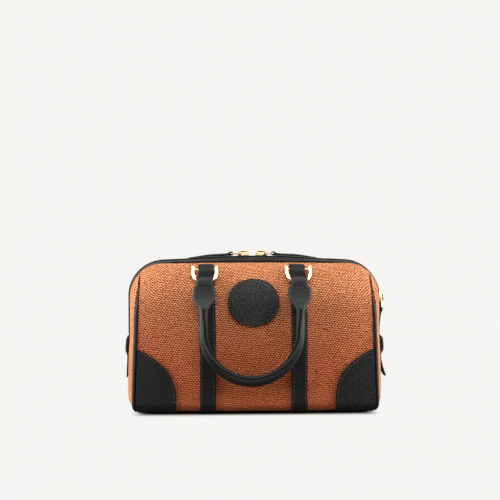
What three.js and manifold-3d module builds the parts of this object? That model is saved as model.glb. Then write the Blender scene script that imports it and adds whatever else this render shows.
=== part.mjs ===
// A mini duffel bag: woven cloth walls, black leather trim, brass rings and zip sliders.
// Millimetres, +Z up, the front faces -Y, and the origin is the middle of the base on the floor.

import * as THREE from 'three';
import { mergeVertices } from 'three/addons/utils/BufferGeometryUtils.js';
import Module from 'manifold-3d';

const wasm = await Module();
wasm.setup();

// Walls and clearances
const WALL = 2;
const GAP = 0.35;
const LAY = 0.5;
const STEP = 0.05;
const WELD = 1e-4;

// The front panel's profile, from the lap under the base up to the seam of the zip strip
const WALL_FLOOR = 2.5;
const LAP_DEPTH = 40;
const HALF_DEPTH = 59;
const HEEL_RADIUS = 9;
const SHOULDER_RADIUS = 60;
const SHOULDER_END = THREE.MathUtils.degToRad(62);
const SHOULDER_START = THREE.MathUtils.degToRad(6);
const SEAM_HEIGHT = 163.2;
const CHEEK = 0.2;
const LIFT_FROM = 60;

// The zip strip that runs over the top and down both ends
const STRIP_HALF = 23.4;
const STRIP_SAG = 1;
const STRIP_CHORD_HALF = 100.5;
const STRIP_CORNER_RADIUS = 38.2;
const STRIP_FOOT = 82;
const TAPE_HALF = 8;
const TAPE_SINK = 0.2;
const TAPE_THICKNESS = 1.2;
const COIL_HALF = 2.5;
const COIL_HEIGHT = 1.2;

// The piping, the ends and the base
const PIPING_SEAT = 1;
const PIPING_FOOT = 2;
const PIPING_TOP = 3;
const END_HEEL_RADIUS = 14;
const END_INSET = 0.8;
const END_TOP = 2;
const BASE_THICKNESS = 2.2;
const BASE_HALF_LENGTH = 130.8;
const BASE_CORNER = 16;

// Leather trim on the front and back
const TRIM_THICKNESS = 1.6;
const TRIM_LAP = 0.8;
const STRAP_WIDTH = 17.2;
const STRAP_MIDDLE = -2.7;
const STRAP_SPACING = 49.4;
const PATCH_RADIUS = 27.8;
const PATCH_HEIGHT = 120;
const CORNER_RADIUS = 56.1;
const CORNER_X = 142.1;
const CORNER_HEIGHT = 16.2;
const CORNER_TOP_WIDTH = 3;

// Rings and handles
const RING_MIDDLE = -4.3;
const RING_SPACING = 50.9;
const RING_HEIGHT = 148;
const RING_BAR_GAP = 18;
const RING_TOP_HALF = 12.7;
const RING_BOTTOM_HALF = 10.4;
const RING_BAR = 2.6;
const RING_ARM = 4.4;
const RING_THICKNESS = 2.8;
const RING_ARM_FROM = 9.5;
const RING_ARM_FULL = 12;
const RING_BEND = 2.2;
const RING_BOW = 0.7;
const RING_TOP_LIFT = 3.9;
const RING_BOTTOM_LIFT = 6.2;
const RING_ARM_TOP = 11.4;
const PIN_PLACE = 6.5;
const LOOP_WIDTH = 17.1;
const LOOP_SHIFT = 1.5;
const HANDLE_MIDDLE = -4.9;
const HANDLE_SPACING = 51.9;
const HANDLE_CENTRE = 88.3;
const HANDLE_LEG_RADIUS = 5.4;
const HANDLE_GRIP_RADIUS = 6;
const HANDLE_LIFT = 8.8;
const ROUND = 2;
const FLAT_END = 4;
const FLAT_PULL = 5;
const ROUND_FROM = 0.6;

// Zip sliders, their links and leather pulls
const SLIDER_LENGTH = 13;
const SLIDER_HALF = 4.4;
const SLIDER_TOP = 2.8;
const SLIDER_CHAMFER = 0.8;
const BRIDGE_WIDTH = 3.2;
const BRIDGE_REACH = 6.1;
const BRIDGE_TOP = 6.9;
const BRIDGE_WIRE = 1.5;
const BRIDGE_BEND = 1.2;
const LINK_START = 2.2;
const LINK_END = 13.2;
const LINK_HALF = 4;
const LINK_LIFT = 3.9;
const LINK_WIRE = 0.6;
const LINK_BEND = 1.6;
const PULL_HALF = 2.9;

// Half of the front panel's width at each height of its profile
const CREASE = [
  { height: 2.5, half: 130.9 },
  { height: 6, half: 132.8 },
  { height: 12, half: 133.4 },
  { height: 32, half: 132.8 },
  { height: 55, half: 132 },
  { height: 86, half: 131 },
  { height: 111, half: 130.2 },
  { height: 132.5, half: 128.4 },
  { height: 148, half: 126.7 },
  { height: 163.2, half: 126.2 },
];

// How far the ends reach below the foot of the zip strip
const END_REACH = [
  { height: 12.5, reach: 139.2 },
  { height: 27, reach: 139.4 },
  { height: 60, reach: 138.6 },
  { height: 82, reach: 137.2 },
];

// How far the zip strip crowns above its seams, by its distance from the middle of the top
const CROWN = [
  { along: 0, rise: 4 },
  { along: 40, rise: 3.4 },
  { along: 70, rise: 1.8 },
  { along: 95, rise: 0.8 },
  { along: 260, rise: 0.8 },
];

// The leather piping's radius down each upright edge
const PIPING = [
  { height: 2.5, radius: 2.3 },
  { height: 111, radius: 2.3 },
  { height: 132.5, radius: 1.4 },
  { height: 148, radius: 0.8 },
  { height: 163.2, radius: 0.8 },
];

// Sections of a handle's flat end, by distance from the ring bar that it hangs on
const HANDLE_END = [
  { along: 5.2, half: 8.2, low: 5.2, high: 8.2 },
  { along: 3.6, half: 8.9, low: 3.6, high: 9.8 },
  { along: 0, half: 9.2, low: 3, high: 10.3 },
  { along: -4.6, half: 9.3, low: 2.9, high: 9.4 },
  { along: -7, half: 11.6, low: 2.9, high: 8.6 },
  { along: -10, half: 12.3, low: 2.9, high: 8.2 },
  { along: -17, half: 12, low: 2.9, high: 8.6 },
  { along: -22, half: 9.6, low: 3, high: 10.4 },
  { along: -26, half: 7, low: 3.2, high: 12.6 },
  { along: -29, half: 5.5, low: 3.4, high: 14.2 },
];

// The leather that bridges a ring's pin, by distance up the wall from the ring's middle
const CHAPE = [
  { up: -3.5, high: 3.2 },
  { up: 0, high: 5 },
  { up: 3, high: 6.7 },
  { up: 6.5, high: 7.3 },
  { up: 9.5, high: 6.8 },
  { up: 12.5, high: 4.9 },
  { up: 15, high: 3 },
];

// Sections of a leather zip pull, by distance from the middle of its slider
const PULL = [
  { along: 10.9, low: 3, high: 4.8 },
  { along: 11.7, low: 2, high: 5.7 },
  { along: 13.2, low: 1.6, high: 6.2 },
  { along: 15.4, low: 1.6, high: 5.6 },
  { along: 18.5, low: 1.6, high: 4.2 },
  { along: 40, low: 1.6, high: 4 },
  { along: 61, low: 1.6, high: 3.2 },
];

// Where each slider sits along the zip, which way its pull points and how far the pull reaches
const ZIP_SETS = [
  { name: 'left', along: -11.6, way: -1, reach: 61 },
  { name: 'right', along: 7.9, way: 1, reach: 61 },
  { name: 'end', along: 162, way: 1, reach: 38 },
];

// Sections of the tab below the zip's foot, folded double at the top
const TAB = [
  { height: 79.5, high: 2.4 },
  { height: 78, high: 4 },
  { height: 72, high: 4.6 },
  { height: 64, high: 4.4 },
  { height: 60.5, high: 3 },
  { height: 57, high: 2.2 },
  { height: 48, high: 2.2 },
  { height: 41, high: 2.2 },
  { height: 34, high: 2.2 },
];
const TAB_HALF = 12;
const TAB_FLARE_FROM = 60;
const TAB_FLARE_RIGHT = 4.3;
const TAB_FLARE_LEFT = 0.4;

const CLOTH = { color: '#96532f', roughness: 0.85, metalness: 0 };
const LEATHER = { color: '#2b2a28', roughness: 0.55, metalness: 0 };
const TAPE = { color: '#161616', roughness: 0.8, metalness: 0 };
const BRASS = { color: '#e2c48a', roughness: 0.22, metalness: 1 };

// A smooth curve through a table's rows, read at any value of its key column.
function read(rows, key, column, at) {
  const last = rows.length - 1;
  let i = 0;
  while (i < last - 1 && at > rows[i + 1][key]) {
    i += 1;
  }
  const slope = (k) => {
    const before = rows[Math.max(0, k - 1)];
    const after = rows[Math.min(last, k + 1)];
    return (after[column] - before[column]) / (after[key] - before[key]);
  };
  const span = rows[i + 1][key] - rows[i][key];
  const f = THREE.MathUtils.clamp((at - rows[i][key]) / span, 0, 1);
  const start = rows[i][column] * (1 + 2 * f) + slope(i) * span * f;
  const end = rows[i + 1][column] * (3 - 2 * f) + slope(i + 1) * span * (f - 1);
  return start * (1 - f) ** 2 + end * f ** 2;
}

// Evenly spaced numbers from start to end, in so many steps.
function steps(start, end, count) {
  return Array.from({ length: count + 1 }, (_, i) => start + ((end - start) * i) / count);
}

// The front panel's profile as a path of depth and height.
function makeProfile() {
  const shoulderX = STRIP_HALF - SHOULDER_RADIUS * Math.cos(SHOULDER_END);
  const shoulderZ = SEAM_HEIGHT - SHOULDER_RADIUS * Math.sin(SHOULDER_END);
  const bellyX = shoulderX + SHOULDER_RADIUS * Math.cos(SHOULDER_START);
  const bellyZ = shoulderZ + SHOULDER_RADIUS * Math.sin(SHOULDER_START);
  const bellyRadius = (HALF_DEPTH - bellyX) / (1 - Math.cos(SHOULDER_START));
  const bellyFoot = bellyZ - bellyRadius * Math.sin(SHOULDER_START);
  const heelX = HALF_DEPTH - HEEL_RADIUS;
  const path = new THREE.Path();
  path.moveTo(LAP_DEPTH, WALL_FLOOR);
  path.lineTo(heelX, WALL_FLOOR);
  path.absarc(heelX, WALL_FLOOR + HEEL_RADIUS, HEEL_RADIUS, -Math.PI / 2, 0, false);
  path.lineTo(HALF_DEPTH, bellyFoot);
  path.absarc(HALF_DEPTH - bellyRadius, bellyFoot, bellyRadius, 0, SHOULDER_START, false);
  path.absarc(shoulderX, shoulderZ, SHOULDER_RADIUS, SHOULDER_START, SHOULDER_END, false);
  return path;
}

// Half of the zip strip's seam line, from the middle of the top down to its foot.
function makeStripLine() {
  const topRadius = (STRIP_CHORD_HALF ** 2 + STRIP_SAG ** 2) / (2 * STRIP_SAG);
  const lean = Math.asin(STRIP_CHORD_HALF / topRadius);
  const cornerX = STRIP_CHORD_HALF - STRIP_CORNER_RADIUS * Math.sin(lean);
  const cornerZ = SEAM_HEIGHT - STRIP_SAG - STRIP_CORNER_RADIUS * Math.cos(lean);
  const path = new THREE.Path();
  path.absarc(0, SEAM_HEIGHT - topRadius, topRadius, Math.PI / 2, Math.PI / 2 - lean, true);
  path.absarc(cornerX, cornerZ, STRIP_CORNER_RADIUS, Math.PI / 2 - lean, 0, true);
  path.lineTo(cornerX + STRIP_CORNER_RADIUS, STRIP_FOOT);
  return { path, cornerX, cornerZ, topRadius };
}

const profile = makeProfile();
const PROFILE_LENGTH = profile.getLength();
const LAP_LENGTH = HALF_DEPTH - HEEL_RADIUS - LAP_DEPTH;
const HEEL_LENGTH = (HEEL_RADIUS * Math.PI) / 2;
const TRIM_FOOT = LAP_LENGTH - TRIM_LAP;
const strip = makeStripLine();
const STRIP_LENGTH = strip.path.getLength();

// How far along the profile a height of the upright wall or shoulder lies.
function alongAt(height) {
  let low = LAP_LENGTH;
  let high = PROFILE_LENGTH;
  while (high - low > STEP) {
    const middle = (low + high) / 2;
    if (profile.getPointAt(middle / PROFILE_LENGTH).y < height) {
      low = middle;
    } else {
      high = middle;
    }
  }
  return low;
}

// The seam's height above the floor at a distance from the bag's middle.
function seamHeight(x) {
  const side = Math.abs(x);
  if (side <= STRIP_CHORD_HALF) {
    return SEAM_HEIGHT - side ** 2 / (2 * strip.topRadius);
  }
  const out = Math.min(side - strip.cornerX, STRIP_CORNER_RADIUS);
  return strip.cornerZ + Math.sqrt(STRIP_CORNER_RADIUS ** 2 - out ** 2);
}

// How far an end reaches from the bag's middle at a height.
function endReach(z) {
  if (z > strip.cornerZ) {
    const up = Math.min(z - strip.cornerZ, STRIP_CORNER_RADIUS);
    return strip.cornerX + Math.sqrt(STRIP_CORNER_RADIUS ** 2 - up ** 2) - END_INSET;
  }
  if (z > STRIP_FOOT) {
    return strip.cornerX + STRIP_CORNER_RADIUS - END_INSET;
  }
  const heelTop = WALL_FLOOR + END_HEEL_RADIUS;
  const down = THREE.MathUtils.clamp(heelTop - z, 0, END_HEEL_RADIUS);
  const heel = END_HEEL_RADIUS - Math.sqrt(END_HEEL_RADIUS ** 2 - down ** 2);
  return read(END_REACH, 'height', 'reach', z) - heel;
}

// The outer face of the front panel, by x and the distance along its profile.
function frontFace(x, along) {
  const p = profile.getPointAt(THREE.MathUtils.clamp(along / PROFILE_LENGTH, 0, 1));
  const u = Math.abs(x) / read(CREASE, 'height', 'half', p.y);
  const depth = STRIP_HALF + (p.x - STRIP_HALF) * (1 - CHEEK * u ** 3);
  const lift = Math.max(0, (p.y - LIFT_FROM) / (SEAM_HEIGHT - LIFT_FROM));
  const z = p.y + (seamHeight(x) - SEAM_HEIGHT) * lift ** 2;
  return new THREE.Vector3(x, -depth, z);
}

// The front panel's right crease at a distance along its profile, and the piping's radius there.
function creaseAt(along) {
  const height = profile.getPointAt(THREE.MathUtils.clamp(along / PROFILE_LENGTH, 0, 1)).y;
  const half = read(CREASE, 'height', 'half', height);
  const radius = read(PIPING, 'height', 'radius', height);
  return { half, radius, point: frontFace(half, along) };
}

// Where the front panel stops, beside the piping.
function panelEdge(along) {
  const { half, radius } = creaseAt(along);
  return half - PIPING_SEAT - radius - GAP;
}

// The outer face of the right end, by y and the distance along the front panel's profile.
function endFace(y, along) {
  const { point } = creaseAt(along);
  const room = Math.max(-point.y - STRIP_HALF, STEP);
  const q = Math.max(0, Math.abs(y) - STRIP_HALF) / room;
  const x = point.x + (endReach(point.z) - point.x) * (1 - q ** 2);
  return new THREE.Vector3(x, y, point.z);
}

// The outer face of the zip strip, by distance from the middle of the top and y.
function stripFace(along, y) {
  const way = Math.abs(along);
  const at = THREE.MathUtils.clamp(way / STRIP_LENGTH, 0, 1);
  const p = strip.path.getPointAt(at);
  const tangent = strip.path.getTangentAt(at);
  const rise = read(CROWN, 'along', 'rise', way) * (1 - (y / STRIP_HALF) ** 2);
  const side = along < 0 ? -1 : 1;
  return new THREE.Vector3(side * (p.x - tangent.y * rise), y, p.y + tangent.x * rise);
}

// The frame of a face at a point: the point, its two directions and its outward normal.
function frameAt(face, a, b) {
  const alongA = face(a + STEP, b).sub(face(a - STEP, b)).normalize();
  const alongB = face(a, b + STEP).sub(face(a, b - STEP)).normalize();
  const normal = alongA.clone().cross(alongB).normalize();
  return { point: face(a, b), alongA, alongB, normal };
}

// A point at a height above a face.
function lay(face, a, b, height) {
  const { point, normal } = frameAt(face, a, b);
  return point.addScaledVector(normal, height);
}

// A placing that keeps a piece stiff, in the frame of a face at one point.
function stiffFrame(face, a, b) {
  const { point, alongA, normal } = frameAt(face, a, b);
  const across = normal.clone().cross(alongA);
  return new THREE.Matrix4().makeBasis(alongA, across, normal).setPosition(point);
}

// A closed geometry from points and triangles, with its faces turned outwards.
function closedGeometry(points, triangles) {
  let volume = 0;
  for (let i = 0; i < triangles.length; i += 3) {
    const [a, b, c] = [0, 1, 2].map((k) => points[triangles[i + k]]);
    volume += a.dot(b.clone().cross(c));
  }
  const geometry = new THREE.BufferGeometry().setFromPoints(points);
  geometry.setIndex(volume < 0 ? triangles.slice().reverse() : triangles);
  return geometry;
}

// A cap over a loop, as triangles that run the same way round as the loop.
function capTriangles(outline) {
  const turn = Math.sign(THREE.ShapeUtils.area(outline));
  return THREE.ShapeUtils.triangulateShape(outline, []).map((face) => {
    const area = THREE.ShapeUtils.area(face.map((k) => outline[k]));
    return Math.sign(area) === turn ? face : face.slice().reverse();
  });
}

// A solid through matching loops. Its ends are capped by their flat outline, or joined up.
function loft(loops, outline) {
  const count = loops[0].length;
  const points = loops.flat();
  const triangles = [];
  const spans = outline ? loops.length - 1 : loops.length;
  for (let i = 0; i < spans; i += 1) {
    const here = i * count;
    const next = ((i + 1) % loops.length) * count;
    for (let j = 0; j < count; j += 1) {
      const k = (j + 1) % count;
      triangles.push(here + j, here + k, next + j, here + k, next + k, next + j);
    }
  }
  if (outline) {
    const end = (loops.length - 1) * count;
    for (const [a, b, c] of capTriangles(outline)) {
      triangles.push(c, b, a, end + a, end + b, end + c);
    }
  }
  return closedGeometry(points, triangles);
}

// A wall on a face: a loop for each station, out along its columns and back on the inside.
function wall(stations, columnsAt, place, high, low) {
  const loops = stations.map((station) => {
    const columns = columnsAt(station);
    const outside = columns.map((column) => place(column, station, high));
    const inside = columns.map((column) => place(column, station, low));
    return outside.concat(inside.reverse());
  });
  const columns = columnsAt(stations[0]);
  const outside = columns.map((column) => new THREE.Vector2(column, 1));
  const inside = columns.map((column) => new THREE.Vector2(column, 0));
  return loft(loops, outside.concat(inside.reverse()));
}

// Points around an oval section: power 2 is round, and a higher power is squarer.
function oval(half, low, high, sides, power) {
  const bend = (value) => Math.sign(value) * Math.abs(value) ** (2 / power);
  return Array.from({ length: sides }, (_, i) => {
    const angle = ((i + 0.5) / sides) * 2 * Math.PI;
    const lift = (low + high) / 2 + (bend(Math.sin(angle)) * (high - low)) / 2;
    return new THREE.Vector2(bend(Math.cos(angle)) * half, lift);
  });
}

// Solids for joining and cutting.
function solidOf(geometry) {
  const bare = geometry.clone();
  bare.deleteAttribute('normal');
  bare.deleteAttribute('uv');
  const merged = mergeVertices(bare, WELD);
  const vertProperties = new Float32Array(merged.attributes.position.array);
  const triVerts = new Uint32Array(merged.index.array);
  return new wasm.Manifold(new wasm.Mesh({ numProp: 3, vertProperties, triVerts }));
}

function geometryOf(solid) {
  const { vertProperties, triVerts } = solid.getMesh();
  const geometry = new THREE.BufferGeometry();
  geometry.setAttribute('position', new THREE.BufferAttribute(vertProperties, 3));
  geometry.setIndex(new THREE.BufferAttribute(triVerts, 1));
  return geometry;
}

function cut(geometry, tool) {
  return geometryOf(solidOf(geometry).subtract(solidOf(tool)));
}

function join(geometry, other) {
  return geometryOf(solidOf(geometry).add(solidOf(other)));
}

// The stations along the profile that the front panel and its trim share.
const HEEL_TOP = LAP_LENGTH + HEEL_LENGTH;
const SHOULDER_LENGTH = SHOULDER_RADIUS * (SHOULDER_END - SHOULDER_START);
const SHOULDER_FOOT = PROFILE_LENGTH - SHOULDER_LENGTH;
const STATIONS = [
  0,
  ...steps(LAP_LENGTH, HEEL_TOP, 4),
  ...steps(HEEL_TOP, SHOULDER_FOOT, 4).slice(1),
  ...steps(SHOULDER_FOOT, PROFILE_LENGTH - 2 * GAP, 8).slice(1),
];

function stationsBetween(start, end) {
  const inner = STATIONS.filter((along) => along > start + STEP && along < end - STEP);
  return [start, ...inner, end];
}

const onFront = (x, along, height) => lay(frontFace, x, along, height);
const onEnd = (y, along, height) => lay(endFace, y, along, height);
const onStrip = (y, along, height) => lay(stripFace, along, y, height);

function frontPanel() {
  const columnsAt = (along) => {
    const edge = panelEdge(along);
    return steps(-edge, edge, 12);
  };
  return wall(STATIONS, columnsAt, onFront, 0, -WALL);
}

function rightEndPanel() {
  const top = alongAt(strip.cornerZ + STRIP_CORNER_RADIUS) - END_TOP;
  const columnsAt = (along) => {
    const { radius, point } = creaseAt(along);
    const edge = -point.y - PIPING_SEAT - radius - GAP;
    const flank = steps(STRIP_HALF, edge, 3).slice(1);
    const middle = steps(-STRIP_HALF, STRIP_HALF, 2);
    return [...flank.map((y) => -y).reverse(), ...middle, ...flank];
  };
  const panel = wall(stationsBetween(LAP_LENGTH, top), columnsAt, onEnd, 0, -WALL);
  const slot = new THREE.BoxGeometry(STRIP_CHORD_HALF, 2 * STRIP_HALF + GAP, SEAM_HEIGHT);
  slot.translate(strip.cornerX + STRIP_CORNER_RADIUS, 0, STRIP_FOOT - GAP + SEAM_HEIGHT / 2);
  return cut(panel, slot);
}

function basePanel() {
  const side = BASE_HALF_LENGTH - BASE_CORNER;
  const edge = steps(-side, side, 12).map((x) => {
    const { y } = frontFace(x, TRIM_FOOT);
    return new THREE.Vector2(x, y + GAP);
  });
  const [corner] = edge;
  const outline = new THREE.Shape(edge);
  outline.quadraticCurveTo(BASE_HALF_LENGTH, corner.y, BASE_HALF_LENGTH, corner.y + BASE_CORNER);
  outline.lineTo(BASE_HALF_LENGTH, -corner.y - BASE_CORNER);
  outline.quadraticCurveTo(BASE_HALF_LENGTH, -corner.y, side, -corner.y);
  for (const { x, y } of edge.slice(0, -1).reverse()) {
    outline.lineTo(x, -y);
  }
  outline.quadraticCurveTo(-BASE_HALF_LENGTH, -corner.y, -BASE_HALF_LENGTH, -corner.y - BASE_CORNER);
  outline.lineTo(-BASE_HALF_LENGTH, corner.y + BASE_CORNER);
  outline.quadraticCurveTo(-BASE_HALF_LENGTH, corner.y, -side, corner.y);
  return new THREE.ExtrudeGeometry(outline, {
    depth: BASE_THICKNESS,
    bevelEnabled: false,
    curveSegments: 4,
  });
}

// Piping down the front right edge, from just above the base up to the zip strip's seam.
function rightPiping() {
  const sides = 5;
  const stations = stationsBetween(LAP_LENGTH + PIPING_FOOT, PROFILE_LENGTH - PIPING_TOP);
  const loops = stations.map((along) => {
    const { half, radius } = creaseAt(along);
    const centre = onFront(half - PIPING_SEAT, along, -PIPING_SEAT);
    const { alongA, normal } = frameAt(frontFace, half - PIPING_SEAT, along);
    return oval(radius, -radius, radius, sides, ROUND).map((p) =>
      centre.clone().addScaledVector(alongA, p.x).addScaledVector(normal, p.y),
    );
  });
  return loft(loops, oval(1, -1, 1, sides, ROUND));
}

const STRIP_STATIONS = (() => {
  const topEnd = Math.asin(STRIP_CHORD_HALF / strip.topRadius) * strip.topRadius;
  const cornerEnd = STRIP_LENGTH - (strip.cornerZ - STRIP_FOOT);
  const half = [
    ...steps(0, topEnd, 5),
    ...steps(topEnd, cornerEnd, 5).slice(1),
    ...steps(cornerEnd, STRIP_LENGTH, 2).slice(1),
  ];
  return [...half.slice(1).reverse().map((along) => -along), ...half];
})();

function frontZipStrip() {
  const outer = -STRIP_HALF + GAP;
  const inner = -TAPE_HALF - GAP;
  return wall(STRIP_STATIONS, () => steps(outer, inner, 2), onStrip, 0, -WALL);
}

function zipperTape() {
  const top = -TAPE_SINK;
  const bottom = top - TAPE_THICKNESS;
  const section = [
    new THREE.Vector2(-TAPE_HALF, bottom),
    new THREE.Vector2(TAPE_HALF, bottom),
    new THREE.Vector2(TAPE_HALF, top),
    new THREE.Vector2(COIL_HALF, top),
    new THREE.Vector2(COIL_HALF, COIL_HEIGHT),
    new THREE.Vector2(-COIL_HALF, COIL_HEIGHT),
    new THREE.Vector2(-COIL_HALF, top),
    new THREE.Vector2(-TAPE_HALF, top),
  ];
  const loops = STRIP_STATIONS.map((along) => section.map((p) => onStrip(p.x, along, p.y)));
  return loft(loops, section);
}

// The direction square to the way from one point of a path to another.
function sideOf(before, after) {
  const way = after.clone().sub(before).normalize();
  return new THREE.Vector2(way.y, -way.x);
}

// A brass ring in its own frame: two arms joined by a bar below, with a pin between them above.
function ringGeometry(grown) {
  const sides = 6;
  const halfGap = RING_BAR_GAP / 2;
  const path = new THREE.Path();
  path.moveTo(RING_TOP_HALF, RING_ARM_TOP + grown);
  path.lineTo(RING_TOP_HALF, halfGap - RING_BEND);
  path.bezierCurveTo(
    RING_TOP_HALF + RING_BOW,
    0,
    RING_BOTTOM_HALF + 2 * RING_BOW,
    -RING_BEND,
    RING_BOTTOM_HALF,
    RING_BEND - halfGap,
  );
  path.quadraticCurveTo(RING_BOTTOM_HALF - RING_BOW, -halfGap, RING_BOTTOM_HALF - RING_BEND, -halfGap);
  path.lineTo(0, -halfGap);
  const right = path.getSpacedPoints(8);
  const left = right.slice(0, -1).reverse().map((p) => new THREE.Vector2(-p.x, p.y));
  const centres = [...right, ...left];
  const tilt = (RING_TOP_LIFT - RING_BOTTOM_LIFT) / RING_BAR_GAP;
  const liftAt = (y) => (RING_TOP_LIFT + RING_BOTTOM_LIFT) / 2 + tilt * y;
  const loops = centres.map((p, i) => {
    const before = centres[Math.max(0, i - 1)];
    const after = centres[Math.min(centres.length - 1, i + 1)];
    const side = sideOf(before, after);
    const arm = THREE.MathUtils.smoothstep(Math.abs(p.x), RING_ARM_FROM, RING_ARM_FULL);
    const half = THREE.MathUtils.lerp(RING_BAR, RING_ARM, arm) / 2 + grown;
    const thick = THREE.MathUtils.lerp(RING_BAR, RING_THICKNESS, arm) / 2 + grown;
    return oval(half, -thick, thick, sides, ROUND).map(
      (q) => new THREE.Vector3(p.x + side.x * q.x, p.y + side.y * q.x, liftAt(p.y) + q.y),
    );
  });
  const radius = RING_BAR / 2 + grown;
  const pinLift = liftAt(PIN_PLACE);
  const pinLoops = [RING_TOP_HALF, -RING_TOP_HALF].map((x) =>
    oval(radius, pinLift - radius, pinLift + radius, sides, ROUND).map(
      (q) => new THREE.Vector3(x, PIN_PLACE + q.x, q.y),
    ),
  );
  const section = oval(1, -1, 1, sides, ROUND);
  return join(loft(loops, section), loft(pinLoops, section));
}

const ringX = (side) => RING_MIDDLE + side * RING_SPACING;
const ringFrame = (side) => stiffFrame(frontFace, ringX(side), alongAt(RING_HEIGHT));
const ring = (side, grown) => ringGeometry(grown).applyMatrix4(ringFrame(side));

// A strap from the base's edge up to the chape that bridges a ring's pin.
function strap(side) {
  const [foot, head] = [CHAPE[0], CHAPE[CHAPE.length - 1]];
  const top = alongAt(RING_HEIGHT) + head.up;
  const lean = SHOULDER_FOOT - SHOULDER_LENGTH / 2;
  const inward = -side * LOOP_SHIFT;
  const loopX = ringX(side) + inward;
  const columnsAt = (along) => {
    const shift = THREE.MathUtils.smoothstep(along, lean, top);
    const middle = THREE.MathUtils.lerp(STRAP_MIDDLE + side * STRAP_SPACING, loopX, shift);
    const half = THREE.MathUtils.lerp(STRAP_WIDTH, LOOP_WIDTH, shift) / 2;
    return [middle - half, middle + half];
  };
  const high = LAY + TRIM_THICKNESS;
  const band = wall(stationsBetween(TRIM_FOOT, top), columnsAt, onFront, high, LAY);
  const loopShape = new THREE.Shape();
  loopShape.moveTo(foot.up, LAY);
  loopShape.lineTo(head.up, LAY);
  for (const row of CHAPE.slice().reverse()) {
    loopShape.lineTo(row.up, row.high);
  }
  const loop = new THREE.ExtrudeGeometry(loopShape, {
    depth: LOOP_WIDTH,
    bevelEnabled: false,
  });
  const upright = new THREE.Matrix4().makeBasis(
    new THREE.Vector3(0, 1, 0),
    new THREE.Vector3(0, 0, 1),
    new THREE.Vector3(1, 0, 0),
  );
  loop.applyMatrix4(upright.setPosition(inward - LOOP_WIDTH / 2, 0, 0)).applyMatrix4(ringFrame(side));
  return cut(join(band, loop), ring(side, GAP));
}

// A flat handle end, looped through a ring's lower bar and narrowed to the handle's tube.
function handleEnd(side) {
  const sides = 8;
  const bar = alongAt(RING_HEIGHT) - RING_BAR_GAP / 2;
  const last = HANDLE_END[HANDLE_END.length - 1];
  const loops = HANDLE_END.map((row) => {
    const shift = row.along / last.along;
    const middle = THREE.MathUtils.lerp(ringX(side), HANDLE_MIDDLE + side * HANDLE_SPACING, shift);
    const rounding = THREE.MathUtils.smoothstep(shift, ROUND_FROM, 1);
    const power = THREE.MathUtils.lerp(FLAT_END, ROUND, rounding);
    return oval(row.half, row.low, row.high, sides, power).map((p) =>
      onFront(middle + p.x, bar + row.along, p.y),
    );
  });
  return cut(loft(loops, oval(1, -1, 1, sides, ROUND)), ring(side, GAP));
}

// A rolled handle: two legs and a half circle, lying along the front panel.
function handle() {
  const sides = 8;
  const last = HANDLE_END[HANDLE_END.length - 1];
  const top = alongAt(RING_HEIGHT) - RING_BAR_GAP / 2 + last.along - GAP;
  const centre = alongAt(HANDLE_CENTRE);
  const legs = steps(top, centre, 3).slice(0, -1);
  const stations = [
    ...legs.map((along) => ({ angle: Math.PI, along })),
    ...steps(Math.PI, 2 * Math.PI, 16).map((angle) => ({ angle, along: centre })),
    ...legs.reverse().map((along) => ({ angle: 2 * Math.PI, along })),
  ];
  const loops = stations.map(({ angle, along }) => {
    const [c, s] = [Math.cos(angle), Math.sin(angle)];
    const radius = THREE.MathUtils.lerp(HANDLE_LEG_RADIUS, HANDLE_GRIP_RADIUS, -s);
    return oval(radius, -radius, radius, sides, ROUND).map((p) => {
      const out = HANDLE_SPACING + p.x;
      return onFront(HANDLE_MIDDLE + out * c, along + out * s, HANDLE_LIFT + p.y);
    });
  });
  return loft(loops, oval(1, -1, 1, sides, ROUND));
}

// A round patch between the straps.
function roundPatch() {
  const low = LAY;
  const high = LAY + TRIM_THICKNESS;
  const radii = steps(0, PATCH_RADIUS, 3);
  const outline = [
    ...radii.map((radius) => new THREE.Vector2(radius, high)),
    ...radii.reverse().map((radius) => new THREE.Vector2(radius, low)),
  ];
  const lathe = new THREE.LatheGeometry(outline, 18);
  lathe.deleteAttribute('normal');
  lathe.deleteAttribute('uv');
  const disc = mergeVertices(lathe);
  const middle = alongAt(PATCH_HEIGHT);
  const position = disc.attributes.position;
  for (let i = 0; i < position.count; i += 1) {
    const [x, height, along] = [position.getX(i), position.getY(i), position.getZ(i)];
    const p = onFront(STRAP_MIDDLE + x, middle + along, height);
    position.setXYZ(i, p.x, p.y, p.z);
  }
  return disc;
}

// The leather on the front panel's lower right corner, inside an arc.
function rightCorner() {
  const centre = alongAt(CORNER_HEIGHT);
  const arcAt = (along) => CORNER_X - Math.sqrt(CORNER_RADIUS ** 2 - (along - centre) ** 2);
  let top = centre + CORNER_RADIUS - STEP;
  while (panelEdge(top) - arcAt(top) < CORNER_TOP_WIDTH) {
    top -= STEP;
  }
  const rise = steps(HEEL_TOP, top, 7).slice(1);
  const stations = [...stationsBetween(TRIM_FOOT, HEEL_TOP), ...rise];
  const columnsAt = (along) => steps(arcAt(along), panelEdge(along), 3);
  return wall(stations, columnsAt, onFront, LAY + TRIM_THICKNESS, LAY);
}

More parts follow.
